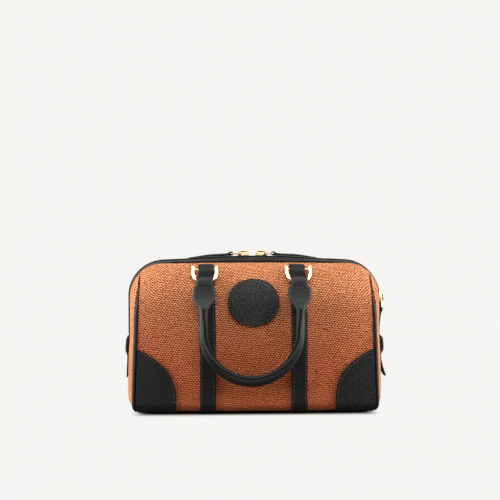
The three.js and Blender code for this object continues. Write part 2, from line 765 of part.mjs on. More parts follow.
// A zip slider: a body that straddles the coil, with a bridge for the link.
function sliderGeometry() {
  const roof = COIL_HEIGHT + GAP;
  const channel = COIL_HALF + GAP;
  const body = new THREE.Shape([
    new THREE.Vector2(-SLIDER_HALF, GAP),
    new THREE.Vector2(-channel, GAP),
    new THREE.Vector2(-channel, roof),
    new THREE.Vector2(channel, roof),
    new THREE.Vector2(channel, GAP),
    new THREE.Vector2(SLIDER_HALF, GAP),
    new THREE.Vector2(SLIDER_HALF, SLIDER_TOP - SLIDER_CHAMFER),
    new THREE.Vector2(SLIDER_HALF - SLIDER_CHAMFER, SLIDER_TOP),
    new THREE.Vector2(SLIDER_CHAMFER - SLIDER_HALF, SLIDER_TOP),
    new THREE.Vector2(-SLIDER_HALF, SLIDER_TOP - SLIDER_CHAMFER),
  ]);
  const trunk = new THREE.ExtrudeGeometry(body, { depth: SLIDER_LENGTH, bevelEnabled: false });
  trunk.applyMatrix4(
    new THREE.Matrix4()
      .makeBasis(new THREE.Vector3(0, 1, 0), new THREE.Vector3(0, 0, 1), new THREE.Vector3(1, 0, 0))
      .setPosition(-SLIDER_LENGTH / 2, 0, 0),
  );
  const foot = SLIDER_TOP - SLIDER_CHAMFER;
  const inner = BRIDGE_REACH - BRIDGE_WIRE;
  const ceiling = BRIDGE_TOP - BRIDGE_WIRE;
  const outerBend = 2 * BRIDGE_BEND;
  const arch = new THREE.Shape();
  arch.moveTo(-BRIDGE_REACH, foot);
  arch.lineTo(-inner, foot);
  arch.lineTo(-inner, ceiling - BRIDGE_BEND);
  arch.quadraticCurveTo(-inner, ceiling, BRIDGE_BEND - inner, ceiling);
  arch.lineTo(inner - BRIDGE_BEND, ceiling);
  arch.quadraticCurveTo(inner, ceiling, inner, ceiling - BRIDGE_BEND);
  arch.lineTo(inner, foot);
  arch.lineTo(BRIDGE_REACH, foot);
  arch.lineTo(BRIDGE_REACH, BRIDGE_TOP - outerBend);
  arch.quadraticCurveTo(BRIDGE_REACH, BRIDGE_TOP, BRIDGE_REACH - outerBend, BRIDGE_TOP);
  arch.lineTo(outerBend - BRIDGE_REACH, BRIDGE_TOP);
  arch.quadraticCurveTo(-BRIDGE_REACH, BRIDGE_TOP, -BRIDGE_REACH, BRIDGE_TOP - outerBend);
  const bridge = new THREE.ExtrudeGeometry(arch, {
    depth: BRIDGE_WIDTH,
    bevelEnabled: false,
    curveSegments: 3,
  });
  bridge.rotateX(Math.PI / 2).translate(0, BRIDGE_WIDTH / 2, 0);
  return join(trunk, bridge);
}

// A link of brass wire, a long round-cornered loop through the slider's bridge.
function linkGeometry(grown) {
  const path = new THREE.Path();
  path.moveTo(LINK_START, 0);
  path.lineTo(LINK_START, LINK_HALF - LINK_BEND);
  path.quadraticCurveTo(LINK_START, LINK_HALF, LINK_START + LINK_BEND, LINK_HALF);
  path.lineTo(LINK_END - LINK_BEND, LINK_HALF);
  path.quadraticCurveTo(LINK_END, LINK_HALF, LINK_END, LINK_HALF - LINK_BEND);
  path.lineTo(LINK_END, 0);
  const half = path.getSpacedPoints(7);
  const other = half.slice(1, -1).reverse().map((p) => new THREE.Vector2(p.x, -p.y));
  const centres = [...half, ...other];
  const wire = LINK_WIRE + grown;
  const loops = centres.map((p, i) => {
    const before = centres[(i + centres.length - 1) % centres.length];
    const after = centres[(i + 1) % centres.length];
    const side = sideOf(before, after);
    return oval(wire, -wire, wire, 5, ROUND).map(
      (q) => new THREE.Vector3(p.x + side.x * q.x, p.y + side.y * q.x, LINK_LIFT + q.y),
    );
  });
  return loft(loops, null);
}

// A slider with its link and pull, at a distance along the strip, the pull pointing one way.
function zipSet(along, way, reach) {
  const placed = stiffFrame(stripFace, along, 0);
  if (way < 0) {
    placed.multiply(new THREE.Matrix4().makeRotationZ(Math.PI));
  }
  const sides = 6;
  const rows = PULL.filter((row) => row.along < reach);
  const tip = { ...PULL[PULL.length - 1], along: reach };
  const loops = [...rows, tip].map((row) => {
    const section = oval(PULL_HALF, row.low, row.high, sides, FLAT_PULL);
    return section.map((p) => onStrip(p.x, along + way * row.along, p.y));
  });
  const pull = loft(loops, oval(1, -1, 1, sides, ROUND));
  return {
    slider: sliderGeometry().applyMatrix4(placed),
    link: linkGeometry(0).applyMatrix4(placed),
    pull: cut(pull, linkGeometry(GAP).applyMatrix4(placed)),
  };
}

// A leather tab under the zip's foot. Flare is how far its tail stands off the bag.
function rightTab(flare) {
  const tail = TAB[TAB.length - 1];
  const loops = TAB.map((row) => {
    const below = Math.max(0, TAB_FLARE_FROM - row.height) / (TAB_FLARE_FROM - tail.height);
    const x = endReach(row.height) + LAY + flare * below ** 2;
    const thick = row.high - LAY;
    return [
      new THREE.Vector3(x, -TAB_HALF, row.height),
      new THREE.Vector3(x, TAB_HALF, row.height),
      new THREE.Vector3(x + thick, TAB_HALF, row.height),
      new THREE.Vector3(x + thick, -TAB_HALF, row.height),
    ];
  });
  return loft(loops, [
    new THREE.Vector2(0, 0),
    new THREE.Vector2(0, 1),
    new THREE.Vector2(1, 1),
    new THREE.Vector2(1, 0),
  ]);
}

const bag = new THREE.Group();

function add(name, geometry, finish) {
  const mesh = new THREE.Mesh(geometry, new THREE.MeshStandardMaterial(finish));
  mesh.name = name;
  bag.add(mesh);
  return mesh;
}

// The same piece at the front and, mirrored, at the back.
function addFrontAndBack(name, geometry, finish) {
  add(`front_${name}`, geometry, finish);
  add(`back_${name}`, geometry, finish).scale.y = -1;
}

// A piece of the right side at all four corners.
function addAtCorners(name, geometry, finish) {
  for (const [end, y] of [['front', 1], ['back', -1]]) {
    for (const [side, x] of [['right', 1], ['left', -1]]) {
      add(`${end}_${side}_${name}`, geometry, finish).scale.set(x, y, 1);
    }
  }
}

addFrontAndBack('panel', frontPanel(), CLOTH);
const endPanel = rightEndPanel();
add('right_end_panel', endPanel, CLOTH);
add('left_end_panel', endPanel, CLOTH).scale.x = -1;
add('base_panel', basePanel(), LEATHER);
addAtCorners('piping', rightPiping(), LEATHER);
addAtCorners('corner', rightCorner(), LEATHER);
addFrontAndBack('zip_strip', frontZipStrip(), LEATHER);
add('zipper_tape', zipperTape(), TAPE);
add('round_patch', roundPatch(), LEATHER);

for (const [name, side] of [['left', -1], ['right', 1]]) {
  addFrontAndBack(`${name}_strap`, strap(side), LEATHER);
  addFrontAndBack(`${name}_ring`, ring(side, 0), BRASS);
  addFrontAndBack(`${name}_handle_end`, handleEnd(side), LEATHER);
}
addFrontAndBack('handle', handle(), LEATHER);

for (const { name, along, way, reach } of ZIP_SETS) {
  const { slider, link, pull } = zipSet(along, way, reach);
  add(`slider_${name}`, slider, BRASS);
  add(`link_${name}`, link, BRASS);
  add(`pull_${name}`, pull, LEATHER);
}

add('right_end_tab', rightTab(TAB_FLARE_RIGHT), LEATHER);
add('left_end_tab', rightTab(TAB_FLARE_LEFT), LEATHER).scale.x = -1;

export default bag;
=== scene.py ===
"""Dresses a mini duffel bag: woven cloth walls, black leather, brass rings and a zip over the top."""

import math
from functools import cache, partial

import bpy
from bpy.props import FloatProperty, FloatVectorProperty, PointerProperty
from bpy.types import Operator, Panel, PropertyGroup
from mathutils import Matrix, Vector


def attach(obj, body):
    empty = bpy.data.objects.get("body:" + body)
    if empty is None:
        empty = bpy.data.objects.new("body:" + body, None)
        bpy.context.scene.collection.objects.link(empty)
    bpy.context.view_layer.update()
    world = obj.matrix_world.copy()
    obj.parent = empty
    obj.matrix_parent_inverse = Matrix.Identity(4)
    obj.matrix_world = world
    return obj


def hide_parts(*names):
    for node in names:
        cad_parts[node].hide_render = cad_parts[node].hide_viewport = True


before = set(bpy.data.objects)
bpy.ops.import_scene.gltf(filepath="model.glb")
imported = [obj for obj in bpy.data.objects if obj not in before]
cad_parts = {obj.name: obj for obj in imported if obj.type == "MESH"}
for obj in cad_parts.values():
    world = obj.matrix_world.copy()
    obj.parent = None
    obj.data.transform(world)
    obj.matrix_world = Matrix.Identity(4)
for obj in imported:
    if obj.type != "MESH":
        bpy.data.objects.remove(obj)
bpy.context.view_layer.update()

bl_info = {
    "name": "Mini Duffel Bag",
    "version": (1, 0, 0),
    "blender": (4, 5, 0),
    "location": "View3D > Sidebar > Bag",
    "description": "Dresses the frame of a mini duffel bag in woven cloth, leather and brass",
    "category": "Object",
}

BODY = "root"

# Shapes are worked out in millimetres and stored in metres
MM = 0.001
GAP = 0.35
LAY = 0.5
STEP = 0.05
CLOSE = STEP / 10
WALL = 2.0
SMOOTH_ANGLE = math.radians(38)
BEVEL_ANGLE = math.radians(50)
DOME_STEPS = 3
DOME_OPENING = 0.3
ROUND = 2.0
FLAT = 5.0

# The front wall's profile, from the lap under the base up to the seam of the zip strip
WALL_FLOOR = 2.5
LAP_DEPTH = 40.0
HALF_DEPTH = 59.0
HEEL_RADIUS = 9.0
SHOULDER_RADIUS = 60.0
SHOULDER_START = math.radians(6)
SHOULDER_END = math.radians(62)
SEAM_HEIGHT = 163.2
CHEEK = 0.2
LIFT_FROM = 60.0

# The slow waves of the soft cloth: heights in millimetres, rates and starts in radians
SWELL_HEIGHT = 0.4
SWELL_ACROSS = (0.047, 0.8)
SWELL_ALONG = (0.055, 0.3)
SLANT_HEIGHT = 0.25
SLANT_ACROSS = (0.021, 2.0)
SLANT_ALONG = 0.043

# The zip strip that runs over the top and down both ends
STRIP_HALF = 23.4
STRIP_SAG = 1.0
STRIP_CHORD_HALF = 100.5
STRIP_CORNER_RADIUS = 38.2
STRIP_FOOT = 82.0
STRIP_THICKNESS = 1.5
STRIP_EDGE = ((-3.0, -2.5), (0.2, -2.5), (0.6, 1.0), (3.2, 0.0))
CLOTH_TOP = (2.2, 0.8)
EDGE_FADE = (80.0, 118.0)
EDGE_AT_CORNER = 0.2
TAPE_HALF = 8.0
TAPE_SINK = 0.2
TAPE_THICKNESS = 1.2
COIL_HALF = 2.5
COIL_HEIGHT = 1.2
COIL_PITCH = 1.7
COIL_SLANT = 0.35
COIL_THICKNESS = 1.3
COIL_ROW = 0.42
COIL_LENGTH = 1.15
STRIP_STITCHES = (21.0, 10.5)

# The piping, the ends and the base
PIPING_SEAT = 1.0
PIPING_FOOT = 2.0
END_HEEL_RADIUS = 14.0
END_INSET = 0.8
END_TOP = 2.0
BASE_THICKNESS = 2.2
BASE_HALF_LENGTH = 130.8
BASE_CORNER = 16.0
BASE_ROUND = 0.6

# Leather trim on the front and back
TRIM_THICKNESS = 1.6
TRIM_LAP = 0.8
STRAP_WIDTH = 17.2
STRAP_MIDDLE = -2.7
STRAP_SPACING = 49.4
PATCH_RADIUS = 27.8
PATCH_HEIGHT = 121.3
PATCH_SQUASH = 0.935
PATCH_GROOVE = 2.6
PATCH_GROOVE_WIDTH = 0.9
PATCH_GROOVE_DEPTH = 0.5
CORNER_RADIUS = 56.1
CORNER_X = 142.1
CORNER_HEIGHT = 16.2
CORNER_TOP_WIDTH = 3.0
CORNER_EASES_FROM = 40.0
CORNER_EASE = 1.6
EDGE_ROUND = 0.5
STITCH_INSET = 2.2

# Rings and handles
RING_MIDDLE = -4.3
RING_SPACING = 50.9
RING_HEIGHT = 148.0
RING_BAR_GAP = 18.0
RING_TOP_HALF = 12.7
RING_BOTTOM_HALF = 10.4
RING_BAR = 2.6
RING_ARM = 4.4
RING_THICKNESS = 2.8
RING_BEND = 2.2
RING_BOW = 0.7
RING_CURL = 4.5
RING_TOP_LIFT = 3.9
RING_BOTTOM_LIFT = 6.2
RING_ARM_TOP = 11.4
RING_ARM_FROM = 9.5
RING_ARM_FULL = 12.0
RING_FLAT = 6.0
RING_ROUND = 0.3
PIN_PLACE = 6.5
LOOP_WIDTH = 17.1
LOOP_SHIFT = 1.5
CHAPE_CROWN = 0.5
HANDLE_MIDDLE = -4.9
HANDLE_SPACING = 51.9
HANDLE_CENTRE = 88.3
HANDLE_LEG_RADIUS = 5.4
HANDLE_GRIP_RADIUS = 6.0
HANDLE_LIFT = 8.8
RIDGE_HEIGHT = 1.5
RIDGE_OFFSET = 0.32
RIDGE_WIDTH = 0.13
RIDGE_START = math.radians(92)
RIDGE_END = math.radians(150)
RIDGE_BEND_SHARE = 0.8
SHIELD_TOP = 6.4
SHIELD_BOTTOM = 28.6
SHIELD_NARROWS = 18.0
SHIELD_TIP = 29.0
SHIELD_MARGIN = 0.5
SHIELD_THICKNESS = 0.8
SHIELD_ROUND = 0.35
SHIELD_STITCH = 1.6
HANDLE_END_SQUARE = 4.0
HANDLE_END_ROUNDS = 0.6
HANDLE_END_DOME = 0.6

# Zip sliders, their links and leather pulls
SLIDER_LENGTH = 13.0
SLIDER_HALF = 4.4
SLIDER_TAIL_HALF = 3.7
SLIDER_CHAMFER = 0.8
SLIDER_ROUND = 0.2
SLIDER_TOP = 2.8
BRIDGE_WIDTH = 3.2
BRIDGE_REACH = 6.7
BRIDGE_TOP = 6.9
BRIDGE_WIRE = 2.1
BRIDGE_FLAT = 4.6
CAP_START = -5.0
CAP_END = 0.9
CAP_HALF = 2.2
CAP_LOW = 1.2
CAP_HIGH = 5.3
CAP_SIDES = 24
LINK_START = 2.2
LINK_END = 13.2
LINK_HALF = 4.0
LINK_LIFT = 3.9
LINK_WIRE = 0.85
LINK_BEND = 1.6
PULL_HALF = 2.9
PULL_DOME = 0.5

# Half of the front wall's width at each height of its profile
CREASE = {
    "height": (2.5, 6, 12, 32, 55, 86, 111, 132.5, 148, 163.2),
    "half": (130.9, 132.8, 133.4, 132.8, 132, 131, 130.2, 128.4, 126.7, 126.2),
}

# How far the ends reach below the foot of the zip strip
END_REACH = {
    "height": (12.5, 27, 60, 82),
    "reach": (139.2, 139.4, 138.6, 137.2),
}

# How far the zip strip crowns above its seams, by its distance from the middle of the top
CROWN = {
    "along": (0, 40, 70, 95, 260),
    "rise": (4, 3.4, 1.8, 0.8, 0.8),
}

# The leather piping's radius down each upright edge
PIPING = {
    "height": (2.5, 108, 122, 132, 142, 152, 158, 162.5),
    "radius": (2.3, 2.3, 1.8, 1.2, 0.8, 0.55, 0.4, 0.3),
    "room": (3.6, 3.6, 3.1, 2.3, 1.7, 1.3, 1.0, 0),
}

# Sections of a handle's flat end, by distance below the ring bar that it hangs on
HANDLE_END = {
    "below": (-5.2, -3.6, 0, 4.6, 7, 10, 17, 22, 26, 29),
    "half": (8.2, 8.9, 9.2, 9.3, 11.6, 12.3, 12, 9.6, 7, 5.5),
    "low": (5.2, 3.6, 3, 2.9, 2.9, 2.9, 2.9, 3, 3.2, 3.4),
    "high": (8.2, 9.8, 10.3, 9.4, 8.6, 8.2, 8.6, 10.4, 12.6, 14.2),
}

# The leather that bridges a ring's pin, by distance up the wall from the ring's middle
CHAPE = {
    "up": (-3.5, 0, 3, 6.5, 9.5, 12.5, 15),
    "high": (3.2, 5, 6.7, 7.3, 6.8, 4.9, 3),
}

# Sections of a leather zip pull, by distance from the middle of its slider
PULL = {
    "along": (10.9, 11.7, 13.2, 15.4, 18.5, 40, 61),
    "low": (3, 2, 1.5, 1.35, 1.3, 1.3, 1.3),
    "high": (4.8, 5.7, 6.2, 5.6, 4.2, 3.7, 1.9),
}

# Sections of the tab below the zip's foot, folded double at the top
TAB = {
    "below": (0, 1.5, 7.5, 15.5, 19, 22.5, 31.5, 38.5, 45.5),
    "high": (2.4, 4, 4.6, 4.4, 3, 2.2, 2.2, 2.2, 2.2),
}
TAB_TOP = 79.5
TAB_HALF = 12.0
TAB_ROUND = 3.0
TAB_STITCH_SINK = 0.25
TAB_SQUARE = 6.0
TAB_FLARE_FROM = 60.0
TABS = {"right": {"flare": 5.6, "swell": 1.4}, "left": {"flare": 0.4, "swell": 1.0}}

# Where each slider sits along the zip, which way its pull points and how far the pull reaches
ZIP_SETS = (
    {"name": "left", "along": -11.6, "way": -1, "reach": 61},
    {"name": "right", "along": 7.9, "way": 1, "reach": 61},
    {"name": "end", "along": 162, "way": 1, "reach": 38},
)

SIDES = {"left": -1, "right": 1}

# The slot in the frame for each kind of finish, by the last word of the finish's name
SLOTS = {"cloth": "cloth", "leather": "leather", "plate": "brass"}

# How finely each piece is divided: columns and rows of grids, and rows and sides of rods
WALL_GRID = (110, 120)
END_GRID = (36, 72)
BASE_GRID = (96, 36)
CORNER_GRID = (36, 48)
STRAP_GRID = (12, 110)
CHAPE_GRID = (12, 28)
STRIP_GRID = (220, 16)
TAPE_GRID = (220, 8)
SHIELD_GRID = (18, 26)
PATCH_SIDES = 96
PATCH_RINGS = 26
PIPING_ROWS = 90
PIPING_SIDES = 14
SLIDER_ROWS = 8
BRIDGE_STEPS = 10
BRIDGE_SIDES = 16
LINK_STEPS = 8
LINK_SIDES = 10
PULL_ROWS = 36
PULL_SIDES = 20
RING_STEPS = 9
RING_SIDES = 16
HANDLE_END_ROWS = 48
HANDLE_END_SIDES = 32
HANDLE_LEG_ROWS = 16
HANDLE_BEND_ROWS = 90
HANDLE_SIDES = 80
TAB_ROWS = 40
TAB_SIDES = 36
STITCH_SIDES = 6
STITCH_RINGS = 5
SEAM_STEPS = 160
STRIP_SEAM_STEPS = 400
FLOOR_SIDES = 96

# The photograph's frame, and where the bag's middle lies in it
PHOTO_PX = 500
MIDDLE_PX = (253.85, 329.9)
FOCAL_PX = 1428.6
SENSOR = 36.0
AZIMUTH = math.radians(-2.67)
ELEVATION = math.radians(6.5)
DISTANCE = 1600.0
MIDDLE = Vector((0, 0, 85))

# The stage, in metres: the floor, and the light by height from straight below to straight above
FOOTPRINT = (0.119, 0.052)
FLOOR_DROP = 0.0003
FLOOR_RADIUS = 0.8
FLOOR_SHADOW = (0.0, 0.018)
FLOOR_FADE = (0.3, 0.55)
# The dark grey floor round the footprint, a painted shadow under the bag's real one
FLOOR_SHADE_GREY = (0.15, 0.147, 0.142)
SKY = ((0.0, 0.15), (0.5, 0.3), (0.75, 0.7), (1.0, 1.0))
SKY_STRENGTH = 0.1
LAMPS = (
    {"name": "left softbox", "place": (-0.95, -0.12, 0.3), "size": (0.6, 0.6), "power": 17.4},
    {"name": "right softbox", "place": (0.95, -0.14, 0.3), "size": (0.6, 0.6), "power": 16.5},
    {"name": "top softbox", "place": (0, -0.27, 0.64), "size": (0.9, 0.5), "power": 5.2},
    {"name": "back softbox", "place": (0, 0.9, 0.35), "size": (1.2, 0.6), "power": 5.0},
)


# Shapes of the bag

def read(table, key, column, at):
    """A smooth curve through a table's rows, read at any value of its key column."""
    keys, values = table[key], table[column]
    last = len(keys) - 1
    i = 0
    while i < last - 1 and at > keys[i + 1]:
        i += 1

    def slope(k):
        before, after = max(0, k - 1), min(last, k + 1)
        return (values[after] - values[before]) / (keys[after] - keys[before])

    span = keys[i + 1] - keys[i]
    f = clamp((at - keys[i]) / span)
    start = values[i] * (1 + 2 * f) + slope(i) * span * f
    end = values[i + 1] * (3 - 2 * f) + slope(i + 1) * span * (f - 1)
    return start * (1 - f) ** 2 + end * f ** 2


def clamp(value, low=0.0, high=1.0):
    return min(max(value, low), high)


def lerp(start, end, share):
    return start + (end - start) * share


def smoothstep(value, low, high):
    share = clamp((value - low) / (high - low))
    return share * share * (3 - 2 * share)


def spread(start, end, count):
    """Evenly spaced numbers from start to end, in so many steps."""
    return [lerp(start, end, i / count) for i in range(count + 1)]


SHOULDER_X = STRIP_HALF - SHOULDER_RADIUS * math.cos(SHOULDER_END)
SHOULDER_Z = SEAM_HEIGHT - SHOULDER_RADIUS * math.sin(SHOULDER_END)
BELLY_X = SHOULDER_X + SHOULDER_RADIUS * math.cos(SHOULDER_START)
BELLY_Z = SHOULDER_Z + SHOULDER_RADIUS * math.sin(SHOULDER_START)
BELLY_RADIUS = (HALF_DEPTH - BELLY_X) / (1 - math.cos(SHOULDER_START))
BELLY_FOOT = BELLY_Z - BELLY_RADIUS * math.sin(SHOULDER_START)
LAP_LENGTH = HALF_DEPTH - HEEL_RADIUS - LAP_DEPTH
HEEL_TOP = LAP_LENGTH + HEEL_RADIUS * math.pi / 2
BELLY_START = HEEL_TOP + BELLY_FOOT - WALL_FLOOR - HEEL_RADIUS
SHOULDER_FOOT = BELLY_START + BELLY_RADIUS * SHOULDER_START
SHOULDER_LENGTH = SHOULDER_RADIUS * (SHOULDER_END - SHOULDER_START)
PROFILE_LENGTH = SHOULDER_FOOT + SHOULDER_LENGTH
TRIM_FOOT = LAP_LENGTH - TRIM_LAP

STRIP_TOP_RADIUS = (STRIP_CHORD_HALF ** 2 + STRIP_SAG ** 2) / (2 * STRIP_SAG)
STRIP_LEAN = math.asin(STRIP_CHORD_HALF / STRIP_TOP_RADIUS)
STRIP_CORNER_X = STRIP_CHORD_HALF - STRIP_CORNER_RADIUS * math.sin(STRIP_LEAN)
STRIP_CORNER_Z = SEAM_HEIGHT - STRIP_SAG - STRIP_CORNER_RADIUS * math.cos(STRIP_LEAN)
STRIP_TOP_LENGTH = STRIP_LEAN * STRIP_TOP_RADIUS
STRIP_CORNER_LENGTH = STRIP_CORNER_RADIUS * (math.pi / 2 - STRIP_LEAN)
STRIP_LENGTH = STRIP_TOP_LENGTH + STRIP_CORNER_LENGTH + STRIP_CORNER_Z - STRIP_FOOT


def profile_at(along):
    """Depth and height of the front wall at a distance along its profile."""
    along = clamp(along, 0.0, PROFILE_LENGTH)
    if along < LAP_LENGTH:
        return LAP_DEPTH + along, WALL_FLOOR
    if along < HEEL_TOP:
        turn = (along - LAP_LENGTH) / HEEL_RADIUS
        depth = HALF_DEPTH - HEEL_RADIUS * (1 - math.sin(turn))
        return depth, WALL_FLOOR + HEEL_RADIUS * (1 - math.cos(turn))
    if along < BELLY_START:
        return HALF_DEPTH, WALL_FLOOR + HEEL_RADIUS + along - HEEL_TOP
    if along < SHOULDER_FOOT:
        turn = (along - BELLY_START) / BELLY_RADIUS
        depth = HALF_DEPTH - BELLY_RADIUS * (1 - math.cos(turn))
        return depth, BELLY_FOOT + BELLY_RADIUS * math.sin(turn)
    turn = SHOULDER_START + (along - SHOULDER_FOOT) / SHOULDER_RADIUS
    depth = SHOULDER_X + SHOULDER_RADIUS * math.cos(turn)
    return depth, SHOULDER_Z + SHOULDER_RADIUS * math.sin(turn)


def along_at(height):
    """How far along the profile a height of the upright wall or shoulder lies."""
    if height > BELLY_Z:
        turn = math.asin(clamp((height - SHOULDER_Z) / SHOULDER_RADIUS))
        return SHOULDER_FOOT + (turn - SHOULDER_START) * SHOULDER_RADIUS
    if height > BELLY_FOOT:
        return BELLY_START + BELLY_RADIUS * math.asin((height - BELLY_FOOT) / BELLY_RADIUS)
    return HEEL_TOP + height - WALL_FLOOR - HEEL_RADIUS


def seam_height(x):
    """The seam's height above the floor at a distance from the bag's middle."""
    side = abs(x)
    if side <= STRIP_CHORD_HALF:
        return SEAM_HEIGHT - side ** 2 / (2 * STRIP_TOP_RADIUS)
    out = min(side - STRIP_CORNER_X, STRIP_CORNER_RADIUS)
    return STRIP_CORNER_Z + math.sqrt(STRIP_CORNER_RADIUS ** 2 - out ** 2)


def end_reach(z):
    """How far an end reaches from the bag's middle at a height."""
    if z > STRIP_CORNER_Z:
        up = min(z - STRIP_CORNER_Z, STRIP_CORNER_RADIUS)
        return STRIP_CORNER_X + math.sqrt(STRIP_CORNER_RADIUS ** 2 - up ** 2) - END_INSET
    if z > STRIP_FOOT:
        return STRIP_CORNER_X + STRIP_CORNER_RADIUS - END_INSET
    down = clamp(WALL_FLOOR + END_HEEL_RADIUS - z, 0, END_HEEL_RADIUS)
    heel = END_HEEL_RADIUS - math.sqrt(END_HEEL_RADIUS ** 2 - down ** 2)
    return read(END_REACH, "height", "reach", z) - heel


def soft_wave(x, along):
    """The slow rise and fall of soft cloth, dying out at the wall's edges."""
    across = math.sin(SWELL_ACROSS[0] * x + SWELL_ACROSS[1])
    swell = SWELL_HEIGHT * across * math.sin(SWELL_ALONG[0] * along + SWELL_ALONG[1])
    slant = SLANT_HEIGHT * math.sin(SLANT_ACROSS[0] * x - SLANT_ALONG * along + SLANT_ACROSS[1])
    return (swell + slant) * math.sin(math.pi * clamp(along / PROFILE_LENGTH))


def front_face(x, along):
    """The outer face of the front wall, by x and the distance along its profile."""
    depth, height = profile_at(along)
    u = abs(x) / read(CREASE, "height", "half", height)
    depth = STRIP_HALF + (depth - STRIP_HALF) * (1 - CHEEK * u ** 3)
    depth += soft_wave(x, along) * (1 - min(u, 1) ** 4)
    lift = max(0.0, (height - LIFT_FROM) / (SEAM_HEIGHT - LIFT_FROM))
    z = height + (seam_height(x) - SEAM_HEIGHT) * lift ** 2
    return Vector((x, -depth, z))


def crease_at(along):
    """The front wall's right crease, the piping's radius there, its room and the crease's point.

    Above the piping's top the room closes, so that the front and end walls meet in the crease.
    """
    height = profile_at(along)[1]
    half = read(CREASE, "height", "half", height)
    radius, room = (read(PIPING, "height", column, height) for column in ("radius", "room"))
    return half, radius, room, front_face(half, along)


def panel_edge(along):
    """Where the front wall stops, beside the piping."""
    half, _, room, _ = crease_at(along)
    return half - room


def end_face(y, along):
    """The outer face of the right end, by y and the distance along the front wall's profile."""
    point = crease_at(along)[-1]
    flank = max(-point.y - STRIP_HALF, STEP)
    q = max(0.0, abs(y) - STRIP_HALF) / flank
    x = point.x + (end_reach(point.z) - point.x) * (1 - q ** 2)
    return Vector((x, y, point.z))


def strip_face(along, y):
    """The outer face of the zip strip, by distance from the middle of the top and y."""
    way = min(abs(along), STRIP_LENGTH)
    if way < STRIP_TOP_LENGTH:
        turn = math.pi / 2 - way / STRIP_TOP_RADIUS
        x = STRIP_TOP_RADIUS * math.cos(turn)
        z = SEAM_HEIGHT - STRIP_TOP_RADIUS * (1 - math.sin(turn))
    elif way < STRIP_TOP_LENGTH + STRIP_CORNER_LENGTH:
        turn = math.pi / 2 - STRIP_LEAN - (way - STRIP_TOP_LENGTH) / STRIP_CORNER_RADIUS
        x = STRIP_CORNER_X + STRIP_CORNER_RADIUS * math.cos(turn)
        z = STRIP_CORNER_Z + STRIP_CORNER_RADIUS * math.sin(turn)
    else:
        turn = 0.0
        x = STRIP_CORNER_X + STRIP_CORNER_RADIUS
        z = STRIP_FOOT + STRIP_LENGTH - way
    rise = read(CROWN, "along", "rise", way) * (1 - (y / STRIP_HALF) ** 2)
    side = -1 if along < 0 else 1
    return Vector((side * (x + math.cos(turn) * rise), y, z + math.sin(turn) * rise))


def frame_at(face, a, b):
    """A face's point, its two directions and its outward normal."""
    along_a = (face(a + STEP, b) - face(a - STEP, b)).normalized()
    along_b = (face(a, b + STEP) - face(a, b - STEP)).normalized()
    return face(a, b), along_a, along_b, along_a.cross(along_b).normalized()


def lay(face, a, b, height):
    """A point at a height above a face."""
    point, _, _, normal = frame_at(face, a, b)
    return point + normal * height


def stiff_frame(face, a, b):
    """A placing that keeps a piece stiff, in the frame of a face at one point."""
    point, along_a, _, normal = frame_at(face, a, b)
    across = normal.cross(along_a)
    turn = Matrix((along_a, across, normal)).transposed().to_4x4()
    return Matrix.Translation(point) @ turn


def curve(points, share):
    """A point on the smooth curve that a few control points steer."""
    while len(points) > 1:
        points = [a.lerp(b, share) for a, b in zip(points, points[1:])]
    return points[0]


def oval(half, low, high, sides, power):
    """Points around an oval section: power 2 is round, and a higher power is squarer."""
    def bend(value):
        return math.copysign(abs(value) ** (2 / power), value)

    angles = [(i + 0.5) / sides * math.tau for i in range(sides)]
    middle, reach = (low + high) / 2, (high - low) / 2
    return [Vector((bend(math.cos(a)) * half, middle + bend(math.sin(a)) * reach)) for a in angles]


def rounded_ends(loops, reach):
    """Loops with shrinking ones added at both ends, so that a rod's ends are domed."""
    def dome(last, before):
        centre = sum(last, Vector()) / len(last)
        out = (centre - sum(before, Vector()) / len(before)).normalized()
        for i in range(1, DOME_STEPS + 1):
            turn = i / (DOME_STEPS + DOME_OPENING) * math.pi / 2
            middle = centre + out * reach * math.sin(turn)
            yield [middle + (p - centre) * math.cos(turn) for p in last]

    start = list(dome(loops[0], loops[1]))
    return start[::-1] + loops + list(dome(loops[-1], loops[-2]))


# Work with objects and meshes

def deselect():
    bpy.ops.object.select_all(action="DESELECT")


def choose(obj):
    """Make one object the only one that the next operator acts on."""
    deselect()
    obj.select_set(True)
    bpy.context.view_layer.objects.active = obj


def named(name):
    obj = bpy.context.object
    obj.name = name
    obj.data.name = name
    return obj


def draped_grid(name, columns, rows, place, flat=None):
    """A grid whose points are moved to place(u, v), with u and v from 0 to 1.

    Flat gives a point's place on the cut cloth, in millimetres, for the weave.
    """
    deselect()
    bpy.ops.mesh.primitive_grid_add(x_subdivisions=columns, y_subdivisions=rows, size=2, location=(0, 0, 0))
    obj = named(name)
    spots = [((v.co.x + 1) / 2, (v.co.y + 1) / 2) for v in obj.data.vertices]
    for vertex, (u, v) in zip(obj.data.vertices, spots):
        vertex.co = place(u, v) * MM
    if flat:
        layer = obj.data.uv_layers.active.data
        for loop in obj.data.loops:
            layer[loop.index].uv = flat(*spots[loop.vertex_index])
    return obj


def lofted(name, loops, joined=False):
    """A closed skin through matching loops, from a grid that is rolled up round them."""
    around = len(loops[0])
    rows = len(loops) if joined else len(loops) - 1

    def place(u, v):
        return loops[round(v * rows) % len(loops)][round(u * around) % around]

    obj = draped_grid(name, around, rows, place)
    choose(obj)
    bpy.ops.object.mode_set(mode="EDIT")
    bpy.ops.mesh.select_all(action="SELECT")
    bpy.ops.mesh.remove_doubles(threshold=CLOSE * MM)
    if not joined:
        bpy.ops.mesh.fill_holes(sides=0)
    bpy.ops.mesh.normals_make_consistent(inside=False)
    bpy.ops.object.mode_set(mode="OBJECT")
    return obj


def apply_modifier(obj, kind, **settings):
    choose(obj)
    modifier = obj.modifiers.new(kind.title(), kind)
    for name, value in settings.items():
        setattr(modifier, name, value)
    bpy.ops.object.modifier_apply(modifier=modifier.name)


